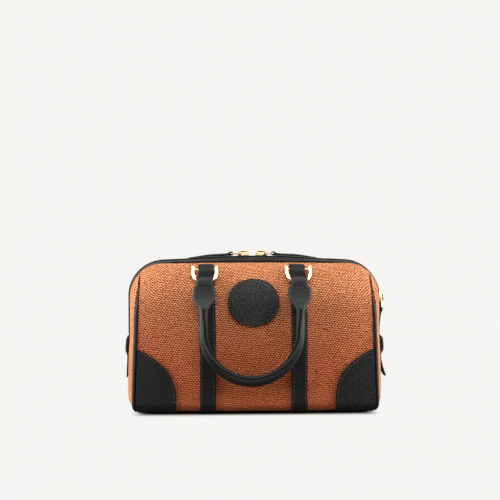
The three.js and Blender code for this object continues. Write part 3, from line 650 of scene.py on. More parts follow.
def thicken(obj, thickness):
    """Give a sheet its thickness, on its inner side."""
    apply_modifier(obj, "SOLIDIFY", thickness=thickness * MM, offset=-1, use_even_offset=True)


def soften(obj, width):
    """Round the sharp edges."""
    apply_modifier(obj, "BEVEL", width=width * MM, segments=2, limit_method="ANGLE", angle_limit=BEVEL_ANGLE)


def leather_sheet(name, grid, place, thickness, rounding=EDGE_ROUND):
    """A sheet with rounded edges, whose outer face lies at place(u, v)."""
    obj = draped_grid(name, *grid, place)
    thicken(obj, thickness)
    soften(obj, rounding)
    return obj


def joined(*objs):
    """Join objects into the first of them."""
    choose(objs[0])
    for obj in objs[1:]:
        obj.select_set(True)
    bpy.ops.object.join()
    return objs[0]


def mirrored(obj, name, x=1, y=1):
    """A copy with its own mesh, mirrored across the bag's length or depth."""
    choose(obj)
    bpy.ops.object.duplicate()
    copy = named(name)
    copy.data.transform(Matrix.Diagonal((x, y, 1, 1)))
    if x * y < 0:
        copy.data.flip_normals()
    return copy


def dressed(obj, material, slot, *nodes):
    """Give a finished piece its material, and let it stand for its solids in the frame."""
    obj.data.materials.clear()
    obj.data.materials.append(material)
    choose(obj)
    bpy.ops.object.shade_smooth_by_angle(angle=SMOOTH_ANGLE)
    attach(obj, BODY)
    if nodes:
        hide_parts(*nodes)
    return obj


# Stitches

def stitch_shape():
    """The points and faces of one stitch of length and thickness 1, from a low ball."""
    deselect()
    bpy.ops.mesh.primitive_uv_sphere_add(
        segments=STITCH_SIDES, ring_count=STITCH_RINGS, radius=0.5, rotation=(0, math.pi / 2, 0)
    )
    bpy.ops.object.transform_apply(rotation=True)
    obj = bpy.context.object
    points = [v.co.copy() for v in obj.data.vertices]
    faces = [tuple(p.vertices) for p in obj.data.polygons]
    bpy.data.objects.remove(obj)
    return points, faces


def seam(face, route, pitch, count=SEAM_STEPS):
    """Evenly spaced places along a route on a face, each with its direction and normal."""
    shares = spread(0, 1, count)
    spots = [route(share) for share in shares]
    points = [face(a, b) for a, b in spots]
    lengths = [0.0]
    for before, after in zip(points, points[1:]):
        lengths.append(lengths[-1] + (after - before).length)
    number = max(1, int(lengths[-1] / pitch))
    places = []
    k = 0
    for i in range(number):
        wanted = (i + 0.5) * lengths[-1] / number
        while lengths[k + 1] < wanted:
            k += 1
        part = (wanted - lengths[k]) / (lengths[k + 1] - lengths[k])
        a, b = route(lerp(shares[k], shares[k + 1], part))
        point, _, _, normal = frame_at(face, a, b)
        places.append((point, (points[k + 1] - points[k]).normalized(), normal))
    return places


def sewn(name, runs, length, thick, height):
    """All the stitches of some seams as one mesh, at a height above the seams' face."""
    ball, ball_faces = stitch_shape()
    points, faces = [], []
    for run in runs:
        for middle, way, normal in run:
            start = len(points)
            across = normal.cross(way)
            for p in ball:
                long = way * p.x * length
                low = normal * (height + p.z * thick)
                points.append((middle + long + across * p.y * thick + low) * MM)
            faces.extend(tuple(start + k for k in face) for face in ball_faces)
    mesh = bpy.data.meshes.new(name)
    mesh.from_pydata(points, [], faces)
    obj = bpy.data.objects.new(name, mesh)
    bpy.context.scene.collection.objects.link(obj)
    return obj


# Materials

# Where a Mix node keeps its factor and its two colours
MIX_SOCKETS = (0, 6, 7)

# The cloth: how the threads wander and shine, how their contrast changes with height, and the painted light
# and shade that tint it by height and on the ends
WEAVE_TURN = math.radians(-5)
WEAVE_SLUB = 1.8
WANDER_SCALE = 0.35
FIBRE_SCALE = 0.7
FIBRE_TONES = (0.3, 0.7, 0.45, 1.55)
BODY_SHARE = 0.6
CROWN_SHARE = 0.4
CLOUD_SCALE = 0.03
CLOUD_TONES = (0.3, 0.7, 0.92, 1.06)
CLOTH_ROUGHNESS = (0.9, 0.68)
CLOTH_BUMP = (0.8, 0.0006)
CLOTH_SHINE = {
    "Sheen_Weight": 0.25,
    "Sheen_Roughness": 0.3,
    "Sheen_Tint": (1.0, 0.9, 0.72, 1.0),
    "Specular_IOR_Level": 0.05,
}
# Painted light and shade: the cloth's green and blue are lowered at the foot and raised towards the top, so
# it is deeper as if in shade below and paler where light falls above
PAINTED_LIGHT_HEIGHTS = (0.02, 0.165)
PAINTED_LIGHT_TINTS = ((1.0, 0.84, 0.84, 1.0), (1.0, 1.3, 1.52, 1.0))
# Painted light on the end walls: paler all over, and palest towards the top, as the side lamps light them
END_PAINTED_LIGHT_TINTS = ((1.0, 1.22, 1.36, 1.0), (1.0, 1.42, 1.66, 1.0))
CLOTHS = {"Rust woven cloth": PAINTED_LIGHT_TINTS, "Rust end cloth": END_PAINTED_LIGHT_TINTS}
TONE_MEAN = 0.4
TONE_HEIGHTS = (0.0, 0.05)
TONE_SHARES = (0.45, 1.3)
TONE_EDGE = (3.4, 2.4)
WEAVE_DOTS = 0.5
WEAVE_ROWS = 0.8
WEAVE_CONTRAST = (0.0, 0.84)

# The leathers: their cells against the size of the grain, relief in metres, roughness and shine
LEATHERS = {
    "Pebbled leather": {"cell": 1.0, "relief": 0.0009, "roughness": 0.42, "shine": 0.34},
    "Trim leather": {"cell": 1.0, "relief": 0.00026, "roughness": 0.58, "shine": 0.28},
    "Smooth leather": {"cell": 0.45, "relief": 0.00012, "roughness": 0.46, "shine": 0.34},
}
GRAIN_BEND = 0.8
GRAIN_SHIFT = (0.7, 0.7, 0.7)
CREASE_WIDTH = 0.22
PORE_SCALE = 4.0
PORE_DEPTH = 0.06
MOTTLE_SCALE = 45.0
MOTTLE_RANGE = (0.25, 0.75)
MOTTLE_GLOSS = (0.08, -0.06)
WORN_SHARES = (0.8, 1.3)
# Painted shade in the grain's creases, as a share of the leather's colour
CREASE_SHADE_SHARE = 0.3
LEATHER_BUMP = 0.8

# Finishes with one fine pattern: its node, the colour's shares, the roughness and the bump
PATTERNS = {
    "Pale gold plate": {
        "colour": "brass", "constants": {"Metallic": 1.0},
        "kind": "TexNoise", "inputs": {"Scale": 260.0, "Detail": 4.0}, "settings": {},
        "shares": (0.94, 1.05), "roughness": (0.3, 0.7, 0.16, 0.27), "bump": (0.08, 0.0001),
    },
    "Black zip tape": {
        "colour": "tape", "constants": {"Specular_IOR_Level": 0.1},
        "kind": "TexWave", "inputs": {"Scale": 420.0, "Distortion": 0.6, "Detail": 1.0},
        "settings": {"bands_direction": "Y"},
        "shares": (0.6, 1.5), "roughness": (0.0, 1.0, 0.9, 0.7), "bump": (0.5, 0.0003),
    },
    "Waxed thread": {
        "colour": "thread", "constants": {},
        "kind": "TexNoise", "inputs": {"Scale": 1400.0, "Detail": 2.0}, "settings": {},
        "shares": (0.6, 1.4), "roughness": (0.3, 0.7, 0.5, 0.7), "bump": (0.4, 0.0002),
    },
}


def node(tree, kind, inputs=(), **settings):
    """Add a shader node, set its own settings, and set or link its inputs."""
    made = tree.nodes.new("ShaderNode" + kind)
    for name, value in settings.items():
        setattr(made, name, value)
    for name, value in dict(inputs).items():
        if isinstance(value, bpy.types.NodeSocket):
            tree.links.new(value, made.inputs[name])
        else:
            made.inputs[name].default_value = value
    return made


def calc(tree, operation, *values):
    """The result of a Math node."""
    return node(tree, "Math", enumerate(values), operation=operation).outputs[0]


def mixed(tree, share, first, second, blend="MIX"):
    """The colour between two colours."""
    inputs = dict(zip(MIX_SOCKETS, (share, first, second)))
    return node(tree, "Mix", inputs, data_type="RGBA", blend_type=blend).outputs[2]


def ranged(tree, value, low, high, start, end):
    """A value moved smoothly from one range to another."""
    inputs = {"Value": value, "From Min": low, "From Max": high, "To Min": start, "To Max": end}
    return node(tree, "MapRange", inputs, interpolation_type="SMOOTHSTEP").outputs[0]


def noise(tree, place, scale, detail):
    return node(tree, "TexNoise", {"Vector": place, "Scale": scale, "Detail": detail}).outputs


def vector(tree, operation, inputs):
    """The result of a Vector Math node."""
    return node(tree, "VectorMath", inputs, operation=operation).outputs[0]


def node_group(name, inputs, outputs):
    """A new shader node group with named sockets, and its input and output nodes."""
    tree = bpy.data.node_groups.new(name, "ShaderNodeTree")
    for socket, kind in inputs.items():
        tree.interface.new_socket(socket, in_out="INPUT", socket_type="NodeSocket" + kind)
    for socket in outputs:
        tree.interface.new_socket(socket, in_out="OUTPUT", socket_type="NodeSocketFloat")
    return tree, tree.nodes.new("NodeGroupInput"), tree.nodes.new("NodeGroupOutput")


def weave_group():
    """Plain weave on a flat cut: light where a warp thread lies on top, dark where it dips; the dark is
    painted shade between the threads.
    """
    sockets = {"Cut": "Vector", "Across": "Float", "Along": "Float", "Slub": "Float"}
    tree, given, put = node_group("Plain weave", sockets, ("Height", "Tone"))
    cut = given.outputs["Cut"]

    def times(first, second):
        return calc(tree, "MULTIPLY", first, second)

    wander = noise(tree, cut, WANDER_SCALE, 2.0)["Color"]
    centred = vector(tree, "SUBTRACT", {0: wander, 1: (0.5, 0.5, 0.5)})
    shift = vector(tree, "SCALE", {0: centred, "Scale": given.outputs["Slub"]})
    moved = vector(tree, "ADD", {0: cut, 1: shift})
    turned = node(tree, "VectorRotate", {"Vector": moved, "Angle": WEAVE_TURN}, rotation_type="Z_AXIS")
    parts = node(tree, "SeparateXYZ", {0: turned.outputs[0]}).outputs
    warp = calc(tree, "DIVIDE", times(parts[0], math.pi), given.outputs["Across"])
    weft = calc(tree, "DIVIDE", times(parts[1], math.pi), given.outputs["Along"])
    over = times(calc(tree, "SINE", warp), calc(tree, "SINE", weft))
    crown = calc(tree, "MAXIMUM", over, 0.0)
    body = calc(tree, "SQRT", calc(tree, "ABSOLUTE", over))
    height = calc(tree, "ADD", times(body, BODY_SHARE), times(crown, CROWN_SHARE))
    fibre = noise(tree, cut, FIBRE_SCALE, 3.0)["Fac"]
    row = calc(tree, "POWER", calc(tree, "SINE", weft), 2.0)
    lit = calc(tree, "ADD", times(over, WEAVE_DOTS), times(row, WEAVE_ROWS))
    tone = ranged(tree, lit, *WEAVE_CONTRAST, 0.0, 1.0)
    tree.links.new(height, put.inputs["Height"])
    tree.links.new(times(tone, ranged(tree, fibre, *FIBRE_TONES)), put.inputs["Tone"])
    return tree


def grain_group():
    """Pebbled leather: raised cells with creases between them, over finer pores; the Crease output masks
    painted shade in the creases.
    """
    sockets = {"Place": "Vector", "Cell": "Float"}
    tree, given, put = node_group("Pebble grain", sockets, ("Height", "Crease", "Mottle"))
    place = given.outputs["Place"]
    scale = calc(tree, "DIVIDE", 1.0, given.outputs["Cell"])
    sized = vector(tree, "SCALE", {0: place, "Scale": scale})
    wander = noise(tree, sized, GRAIN_BEND, 2.0)["Color"]
    bent = vector(tree, "MULTIPLY_ADD", {0: wander, 1: GRAIN_SHIFT, 2: sized})
    cells = node(tree, "TexVoronoi", {"Vector": bent, "Scale": 1.0}, feature="DISTANCE_TO_EDGE")
    crease = ranged(tree, cells.outputs["Distance"], 0.0, CREASE_WIDTH, 0.0, 1.0)
    pores = noise(tree, sized, PORE_SCALE, 3.0)["Fac"]
    height = calc(tree, "ADD", crease, calc(tree, "MULTIPLY", pores, PORE_DEPTH))
    mottle = noise(tree, place, MOTTLE_SCALE, 3.0)["Fac"]
    for name, value in (("Height", height), ("Crease", crease), ("Mottle", mottle)):
        tree.links.new(value, put.inputs[name])
    return tree


def new_material(name, **constants):
    """A material with its shader, whose constant values sit on the shader's own sockets."""
    material = bpy.data.materials.new(name)
    material.use_nodes = True
    tree = material.node_tree
    shader = tree.nodes["Principled BSDF"]
    for socket, value in constants.items():
        shader.inputs[socket.replace("_", " ")].default_value = value
    return material, tree, shader


def finished(tree, shader, colour, roughness, height, strength, distance):
    """Link a finish's colour, roughness and bump to its shader."""
    bump = node(tree, "Bump", {"Height": height, "Strength": strength, "Distance": distance})
    links = {"Base Color": colour, "Roughness": roughness, "Normal": bump.outputs["Normal"]}
    for name, value in links.items():
        tree.links.new(value, shader.inputs[name])


def shade(colour, share):
    """A darker or lighter colour, opaque."""
    return (colour[0] * share, colour[1] * share, colour[2] * share, 1.0)


def cloth_material(name, sizes, colours):
    """Woven cloth on its own flat cut, with painted light and shade by height: deeper at the foot and paler
    towards the top, and paler all over on the ends.
    """
    material, tree, shader = new_material(name, **CLOTH_SHINE)
    cut = node(tree, "UVMap", uv_map="UVMap").outputs["UV"]
    threads = {"Across": sizes.weave_across / MM, "Along": sizes.weave_along / MM, "Slub": WEAVE_SLUB}
    group = bpy.data.node_groups.get("Plain weave") or weave_group()
    weave = node(tree, "Group", {"Cut": cut, **threads}, node_tree=group).outputs
    rise = node(tree, "SeparateXYZ", {0: node(tree, "TexCoord").outputs["Object"]}).outputs[2]
    along = node(tree, "SeparateXYZ", {0: cut}).outputs[1]
    inside = ranged(tree, along, *(PROFILE_LENGTH - edge for edge in TONE_EDGE), 1.0, 0.0)
    strength = calc(tree, "MULTIPLY", ranged(tree, rise, *TONE_HEIGHTS, *TONE_SHARES), inside)
    away = calc(tree, "SUBTRACT", weave["Tone"], TONE_MEAN)
    tone = calc(tree, "MULTIPLY_ADD", away, strength, TONE_MEAN)
    # The tone mixes in the near-black gap colour, painted shade between the threads
    woven = mixed(tree, tone, (*colours.cloth_gap, 1), (*colours.cloth_thread, 1))
    cloud = noise(tree, cut, CLOUD_SCALE, 3.0)["Fac"]
    grey = node(tree, "CombineColor", {k: ranged(tree, cloud, *CLOUD_TONES) for k in range(3)})
    clouded = mixed(tree, 1.0, woven, grey.outputs[0], "MULTIPLY")
    # Painted light and shade by height, mixed from this cloth's tints: deeper colour at the foot, paler
    # towards the top
    height = ranged(tree, rise, *PAINTED_LIGHT_HEIGHTS, 0.0, 1.0)
    painted_light = mixed(tree, 1.0, clouded, mixed(tree, height, *CLOTHS[name]), "MULTIPLY")
    gloss = ranged(tree, weave["Tone"], 0.0, 1.0, *CLOTH_ROUGHNESS)
    finished(tree, shader, painted_light, gloss, weave["Height"], *CLOTH_BUMP)
    return material


def leather_material(name, sizes, colours):
    """Black leather with a grain of its own cell size and relief."""
    form = LEATHERS[name]
    material, tree, shader = new_material(name, Specular_IOR_Level=form["shine"])
    place = node(tree, "TexCoord").outputs["Object"]
    group = bpy.data.node_groups.get("Pebble grain") or grain_group()
    cells = {"Place": place, "Cell": sizes.grain_size * form["cell"]}
    pebbles = node(tree, "Group", cells, node_tree=group).outputs
    mottle = pebbles["Mottle"]
    worn = mixed(tree, mottle, *(shade(colours.leather, share) for share in WORN_SHARES))
    # Painted shade: the creases between the pebbles are darkened to a share of the leather's colour
    crease_shaded = mixed(tree, pebbles["Crease"], shade(colours.leather, CREASE_SHADE_SHARE), worn)
    gloss = ranged(tree, mottle, *MOTTLE_RANGE, *(form["roughness"] + change for change in MOTTLE_GLOSS))
    finished(tree, shader, crease_shaded, gloss, pebbles["Height"], LEATHER_BUMP, form["relief"])
    return material


def patterned_material(name, colours):
    """A finish whose colour, roughness and bump all follow one fine pattern."""
    form = PATTERNS[name]
    material, tree, shader = new_material(name, **form["constants"])
    place = node(tree, "TexCoord").outputs["Object"]
    pattern = node(tree, form["kind"], {"Vector": place, **form["inputs"]}, **form["settings"]).outputs["Fac"]
    shades = [shade(getattr(colours, form["colour"]), share) for share in form["shares"]]
    gloss = ranged(tree, pattern, *form["roughness"])
    finished(tree, shader, mixed(tree, pattern, *shades), gloss, pattern, *form["bump"])
    return material


def finish_called(name, context):
    """A finish by its name, made when it is first asked for."""
    made = bpy.data.materials.get(name)
    if made:
        return made
    sizes, colours = context.scene.bag_sizes, context.scene.bag_colours
    if name in CLOTHS:
        return cloth_material(name, sizes, colours)
    if name in LEATHERS:
        return leather_material(name, sizes, colours)
    return patterned_material(name, colours)


# Cloth walls and the base

def between(stops, share):
    """A value on a walk through some stops, with as many steps between each two."""
    place = share * (len(stops) - 1)
    i = min(int(place + CLOSE), len(stops) - 2)
    return lerp(stops[i], stops[i + 1], place - i)


def front_wall(name):
    """The front wall, one cut of cloth from under the base up to the zip strip."""
    top_half = panel_edge(PROFILE_LENGTH)

    def cut_at(u, v):
        middle = 1 - smoothstep(abs(2 * u - 1) * top_half, *EDGE_FADE)
        along = v * (PROFILE_LENGTH - lerp(*CLOTH_TOP[::-1], middle))
        return (2 * u - 1) * panel_edge(along), along

    wall = draped_grid(name, *WALL_GRID, lambda u, v: front_face(*cut_at(u, v)), cut_at)
    thicken(wall, WALL)
    return wall


def cut_area(wall):
    """The area of a finished wall's flat cut, in square metres, of which its mesh has two layers."""
    spots = wall.data.uv_layers.active.data
    twice = 0.0
    for face in wall.data.polygons:
        corners = [spots[i].uv for i in face.loop_indices]
        turns = zip(corners, corners[1:] + corners[:1])
        twice += abs(sum(a.x * b.y - b.x * a.y for a, b in turns)) / 2
    return twice / 2 * MM ** 2


def crease_along(height):
    """How far along the profile the crease reaches a height."""
    low, high = 0.0, PROFILE_LENGTH
    while high - low > CLOSE:
        middle = (low + high) / 2
        if crease_at(middle)[-1].z < height:
            low = middle
        else:
            high = middle
    return low


def end_wall(name):
    """The right end, cut out for the zip strip that comes down it."""
    slot_half = STRIP_HALF + GAP / 2
    slot_foot = STRIP_FOOT - GAP
    top = along_at(STRIP_CORNER_Z + STRIP_CORNER_RADIUS) - END_TOP
    rows = (LAP_LENGTH, crease_along(slot_foot), top)

    def cut_at(u, v):
        along = between(rows, v)
        _, _, room, point = crease_at(along)
        edge = -point.y - room
        return between((-edge, -slot_half, slot_half, edge), u), along

    wall = draped_grid(name, *END_GRID, lambda u, v: end_face(*cut_at(u, v)), cut_at)
    choose(wall)
    bpy.ops.object.mode_set(mode="EDIT")
    bpy.ops.mesh.select_mode(type="FACE")
    bpy.ops.mesh.select_all(action="DESELECT")
    bpy.ops.object.mode_set(mode="OBJECT")
    for face in wall.data.polygons:
        middle = face.center / MM
        face.select = abs(middle.y) < slot_half and middle.z > slot_foot
    bpy.ops.object.mode_set(mode="EDIT")
    bpy.ops.mesh.delete(type="FACE")
    bpy.ops.mesh.select_mode(type="VERT")
    bpy.ops.object.mode_set(mode="OBJECT")
    thicken(wall, WALL)
    return wall


def base(name):
    """The leather base, with round corners inside the heel of the walls."""
    side = BASE_HALF_LENGTH - BASE_CORNER

    def half_depth(x):
        depth = -front_face(clamp(x, -side, side), TRIM_FOOT).y - GAP
        past = max(0.0, abs(x) - side) / BASE_CORNER
        return depth - BASE_CORNER * (1 - math.sqrt(1 - past)) ** 2

    def place(u, v):
        x = (2 * u - 1) * BASE_HALF_LENGTH
        return Vector((x, (2 * v - 1) * half_depth(x), BASE_THICKNESS))

    return leather_sheet(name, BASE_GRID, place, BASE_THICKNESS, BASE_ROUND)


# Leather trim

def right_piping(name):
    """Piping down the front right edge."""
    loops = []
    for along in spread(LAP_LENGTH + PIPING_FOOT, along_at(PIPING["height"][-1]), PIPING_ROWS):
        half, radius, _, _ = crease_at(along)
        point, across, _, normal = frame_at(front_face, half - PIPING_SEAT, along)
        centre = point - normal * PIPING_SEAT
        section = oval(radius, -radius, radius, PIPING_SIDES, ROUND)
        loops.append([centre + across * p.x + normal * p.y for p in section])
    return lofted(name, rounded_ends(loops, PIPING["radius"][-1]))


def corner_arc(along, inset=0.0):
    """How far out the corner leather's arc lies, or a line inside it."""
    rise = along - along_at(CORNER_HEIGHT)
    return CORNER_X - math.sqrt(max(0.0, (CORNER_RADIUS - inset) ** 2 - rise ** 2))


@cache
def corner_top(inset=0.0):
    """Where the corner leather, or a line inside it, comes to its narrow top."""
    top = along_at(CORNER_HEIGHT) + CORNER_RADIUS - inset
    while panel_edge(top) - corner_arc(top, inset) < CORNER_TOP_WIDTH:
        top -= STEP
    return top


def corner_edge(along, inset=0.0):
    """The corner leather's edge, or a line inside it: an arc that eases into a slant to its top."""
    start, top = along_at(CORNER_EASES_FROM), corner_top(inset)
    foot = corner_arc(start, inset)
    slope = (start - along_at(CORNER_HEIGHT)) / (CORNER_X - foot)
    length = top - start
    bend = (panel_edge(top) - CORNER_TOP_WIDTH - foot - slope * length) / length ** 2
    past = max(0.0, along - start)
    return corner_arc(min(along, start), inset) + slope * past + bend * past ** 2


def right_corner(name):
    """The leather on the lower right corner."""
    top = corner_top()

    def place(u, v):
        along = lerp(top, TRIM_FOOT, (1 - v) ** CORNER_EASE)
        x = lerp(corner_edge(along), panel_edge(along), u)
        return lay(front_face, x, along, LAY + TRIM_THICKNESS)

    return leather_sheet(name, CORNER_GRID, place, TRIM_THICKNESS)


def ring_x(side):
    return RING_MIDDLE + side * RING_SPACING


def loop_x(side):
    """The middle of a chape, a little nearer the bag's middle than its ring."""
    return ring_x(side) - side * LOOP_SHIFT


STRAP_TOP = along_at(RING_HEIGHT) + CHAPE["up"][-1]


def strap_at(side, along):
    """A strap's middle and half width, which lean towards its ring up the shoulder."""
    lean = smoothstep(along, SHOULDER_FOOT - SHOULDER_LENGTH / 2, STRAP_TOP)
    middle = lerp(STRAP_MIDDLE + side * STRAP_SPACING, loop_x(side), lean)
    return middle, lerp(STRAP_WIDTH, LOOP_WIDTH, lean) / 2


def strap(name, side):
    """A strap from the base's edge up, with the chape that bridges its ring's pin."""
    def on_wall(u, v):
        along = lerp(TRIM_FOOT, STRAP_TOP, v)
        middle, half = strap_at(side, along)
        return lay(front_face, middle + (2 * u - 1) * half, along, LAY + TRIM_THICKNESS)

    ring = stiff_frame(front_face, ring_x(side), along_at(RING_HEIGHT))

    def over_pin(u, v):
        up = lerp(CHAPE["up"][0], CHAPE["up"][-1], v)
        crown = CHAPE_CROWN * (1 - (2 * u - 1) ** 4)
        high = read(CHAPE, "up", "high", up) - CHAPE_CROWN + crown
        return ring @ Vector(((u - 0.5) * LOOP_WIDTH - side * LOOP_SHIFT, up, high))

    band = leather_sheet(name, STRAP_GRID, on_wall, TRIM_THICKNESS)
    return joined(band, leather_sheet("chape", CHAPE_GRID, over_pin, TRIM_THICKNESS))


def round_patch(name):
    """A round patch between the straps, with a sunk line for its stitches."""
    deselect()
    bpy.ops.mesh.primitive_circle_add(vertices=PATCH_SIDES, radius=PATCH_RADIUS * MM, fill_type="NGON")
    patch = named(name)
    bpy.ops.object.mode_set(mode="EDIT")
    bpy.ops.mesh.select_all(action="SELECT")
    for _ in range(PATCH_RINGS):
        bpy.ops.mesh.inset(thickness=PATCH_RADIUS / (PATCH_RINGS + 1) * MM)
    bpy.ops.mesh.poke()
    bpy.ops.object.mode_set(mode="OBJECT")
    middle = along_at(PATCH_HEIGHT)
    for vertex in patch.data.vertices:
        flat = vertex.co / MM
        groove = math.exp(-((PATCH_RADIUS - PATCH_GROOVE - flat.length) / PATCH_GROOVE_WIDTH) ** 2)
        height = LAY + TRIM_THICKNESS - PATCH_GROOVE_DEPTH * groove
        vertex.co = lay(front_face, STRAP_MIDDLE + flat.x, middle + flat.y * PATCH_SQUASH, height) * MM
    thicken(patch, TRIM_THICKNESS)
    soften(patch, EDGE_ROUND)
    return patch


# The zip and its strips

def front_zip_strip(name):
    """The leather strip at the front of the zip, its raised edge folded in under the wall's top."""
    ys = [inward - STRIP_HALF for inward, _ in STRIP_EDGE] + [-TAPE_HALF - GAP]
    heights = [height for _, height in STRIP_EDGE] + [0.0]

    def place(u, v):
        along = (2 * u - 1) * STRIP_LENGTH
        height = between(heights, v)
        if height > 0:
            height *= lerp(1, EDGE_AT_CORNER, smoothstep(abs(along), *EDGE_FADE))
        return lay(strip_face, along, between(ys, v), height)

    return leather_sheet(name, STRIP_GRID, place, STRIP_THICKNESS)


def zip_tape(name):
    """The tape between the strips."""
    def cut_at(u, v):
        return (2 * u - 1) * STRIP_LENGTH, (2 * v - 1) * TAPE_HALF

    tape = draped_grid(name, *TAPE_GRID, lambda u, v: lay(strip_face, *cut_at(u, v), -TAPE_SINK), cut_at)
    thicken(tape, TAPE_THICKNESS)
    return tape


def zip_coil(name):
    """The two rows of loops that close the zip, one row half a step along from the other."""
    loops = []
    count = int(2 * STRIP_LENGTH / COIL_PITCH)
    for i in range(2 * count - 1):
        row = -1 if i % 2 else 1
        along = (i + 1) * COIL_PITCH / 2 - STRIP_LENGTH
        point, way, across, normal = frame_at(strip_face, along, row * COIL_HALF * COIL_ROW)
        slant = (across * row + way * COIL_SLANT).normalized()
        loops.append((point, slant, normal))
    middle = COIL_HEIGHT - COIL_THICKNESS / 2
    return sewn(name, [loops], COIL_HALF * COIL_LENGTH, COIL_THICKNESS, middle)


def set_in(placing, loops):
    return [[placing @ point for point in loop] for loop in loops]


def zip_place(zip_set):
    """The placing of a slider, whose own x points the way that its pull lies."""
    placing = stiff_frame(strip_face, zip_set["along"], 0)
    if zip_set["way"] < 0:
        placing = placing @ Matrix.Rotation(math.pi, 4, "Z")
    return placing


def rod(centres, normal, section_at, closed=False):
    """Loops for a rod that bends in one plane, each section set square to the rod's path."""
    count = len(centres)
    loops = []
    for i, centre in enumerate(centres):
        before = centres[i - 1] if closed or i else centre
        after = centres[(i + 1) % count] if closed or i + 1 < count else centre
        side = (after - before).normalized().cross(normal)
        loops.append([centre + side * p.x + normal * p.y for p in section_at(centre)])
    return loops


def bridge_cap(placing):
    """The cover under a bridge that hides the slider's lock, beside the room for the link."""
    section = oval(CAP_HALF, CAP_LOW, CAP_HIGH, CAP_SIDES, ROUND)
    loops = [[Vector((x, p.x, p.y)) for p in section] for x in (CAP_START, CAP_END)]
    return lofted("cap", set_in(placing, rounded_ends(loops, SLIDER_ROUND)))


def slider(name, zip_set):
    """A slider that straddles the coil, with a bridge over its back."""
    roof, channel = COIL_HEIGHT + GAP, COIL_HALF + GAP
    shoulder = SLIDER_TOP - SLIDER_CHAMFER

    def section(x):
        half = lerp(SLIDER_TAIL_HALF, SLIDER_HALF, smoothstep(-x, -SLIDER_LENGTH / 2, SLIDER_LENGTH / 4))
        inside = ((-half, GAP), (-channel, GAP), (-channel, roof))
        outside = ((half, shoulder), (half - SLIDER_CHAMFER, SLIDER_TOP))
        ring = [*inside, *((-y, z) for y, z in inside[::-1]), *outside, *((-y, z) for y, z in outside[::-1])]
        return [Vector((x, y, z)) for y, z in ring]

    placing = zip_place(zip_set)
    trunk = [section(x) for x in spread(-SLIDER_LENGTH / 2, SLIDER_LENGTH / 2, SLIDER_ROWS)]
    body = lofted(name, set_in(placing, trunk))
    soften(body, SLIDER_ROUND)
    reach, top = BRIDGE_REACH - BRIDGE_WIRE / 2, BRIDGE_TOP - BRIDGE_WIRE / 2
    bend = [Vector((-reach, 0, shoulder)), Vector((-reach, 0, top)), Vector((BRIDGE_FLAT - reach, 0, top))]
    half_arch = [curve(bend, share) for share in spread(0, 1, BRIDGE_STEPS)]
    arch = half_arch + [Vector((-p.x, 0, p.z)) for p in half_arch[::-1]]
    flat_wire = oval(BRIDGE_WIRE / 2, -BRIDGE_WIDTH / 2, BRIDGE_WIDTH / 2, BRIDGE_SIDES, FLAT)
    bridge = lofted("bridge", set_in(placing, rod(arch, Vector((0, 1, 0)), lambda _: flat_wire)))
    return joined(body, bridge, bridge_cap(placing))


def link(name, zip_set):
    """A loop of brass wire through a slider's bridge."""
    def bent(x, way):
        spots = ((x, LINK_HALF - LINK_BEND), (x, LINK_HALF), (x + way * LINK_BEND, LINK_HALF))
        points = [Vector((*spot, LINK_LIFT)) for spot in spots[::way]]
        return [curve(points, share) for share in spread(0, 1, LINK_STEPS)]

    half = bent(LINK_START, 1) + bent(LINK_END, -1)
    centres = half + [Vector((p.x, -p.y, p.z)) for p in half[::-1]]
    wire = oval(LINK_WIRE, -LINK_WIRE, LINK_WIRE, LINK_SIDES, ROUND)
    loops = rod(centres, Vector((0, 0, 1)), lambda _: wire, closed=True)
    return lofted(name, set_in(zip_place(zip_set), loops), joined=True)


def pull(name, zip_set):
    """A leather pull, folded over its link and lying along the zip."""
    reach = zip_set["reach"]
    kept = [i for i, along in enumerate(PULL["along"]) if along < reach]
    table = {"along": [PULL["along"][i] for i in kept] + [reach]}
    for column in ("low", "high"):
        table[column] = [PULL[column][i] for i in kept] + [PULL[column][-1]]
    loops = []
    for along in spread(PULL["along"][0], reach, PULL_ROWS):
        low, high = (read(table, "along", column, along) for column in ("low", "high"))
        at = zip_set["along"] + zip_set["way"] * along
        section = oval(PULL_HALF, low, high, PULL_SIDES, FLAT)
        loops.append([lay(strip_face, at, p.x, p.y) for p in section])
    return lofted(name, rounded_ends(loops, PULL_DOME))


# Rings and handles

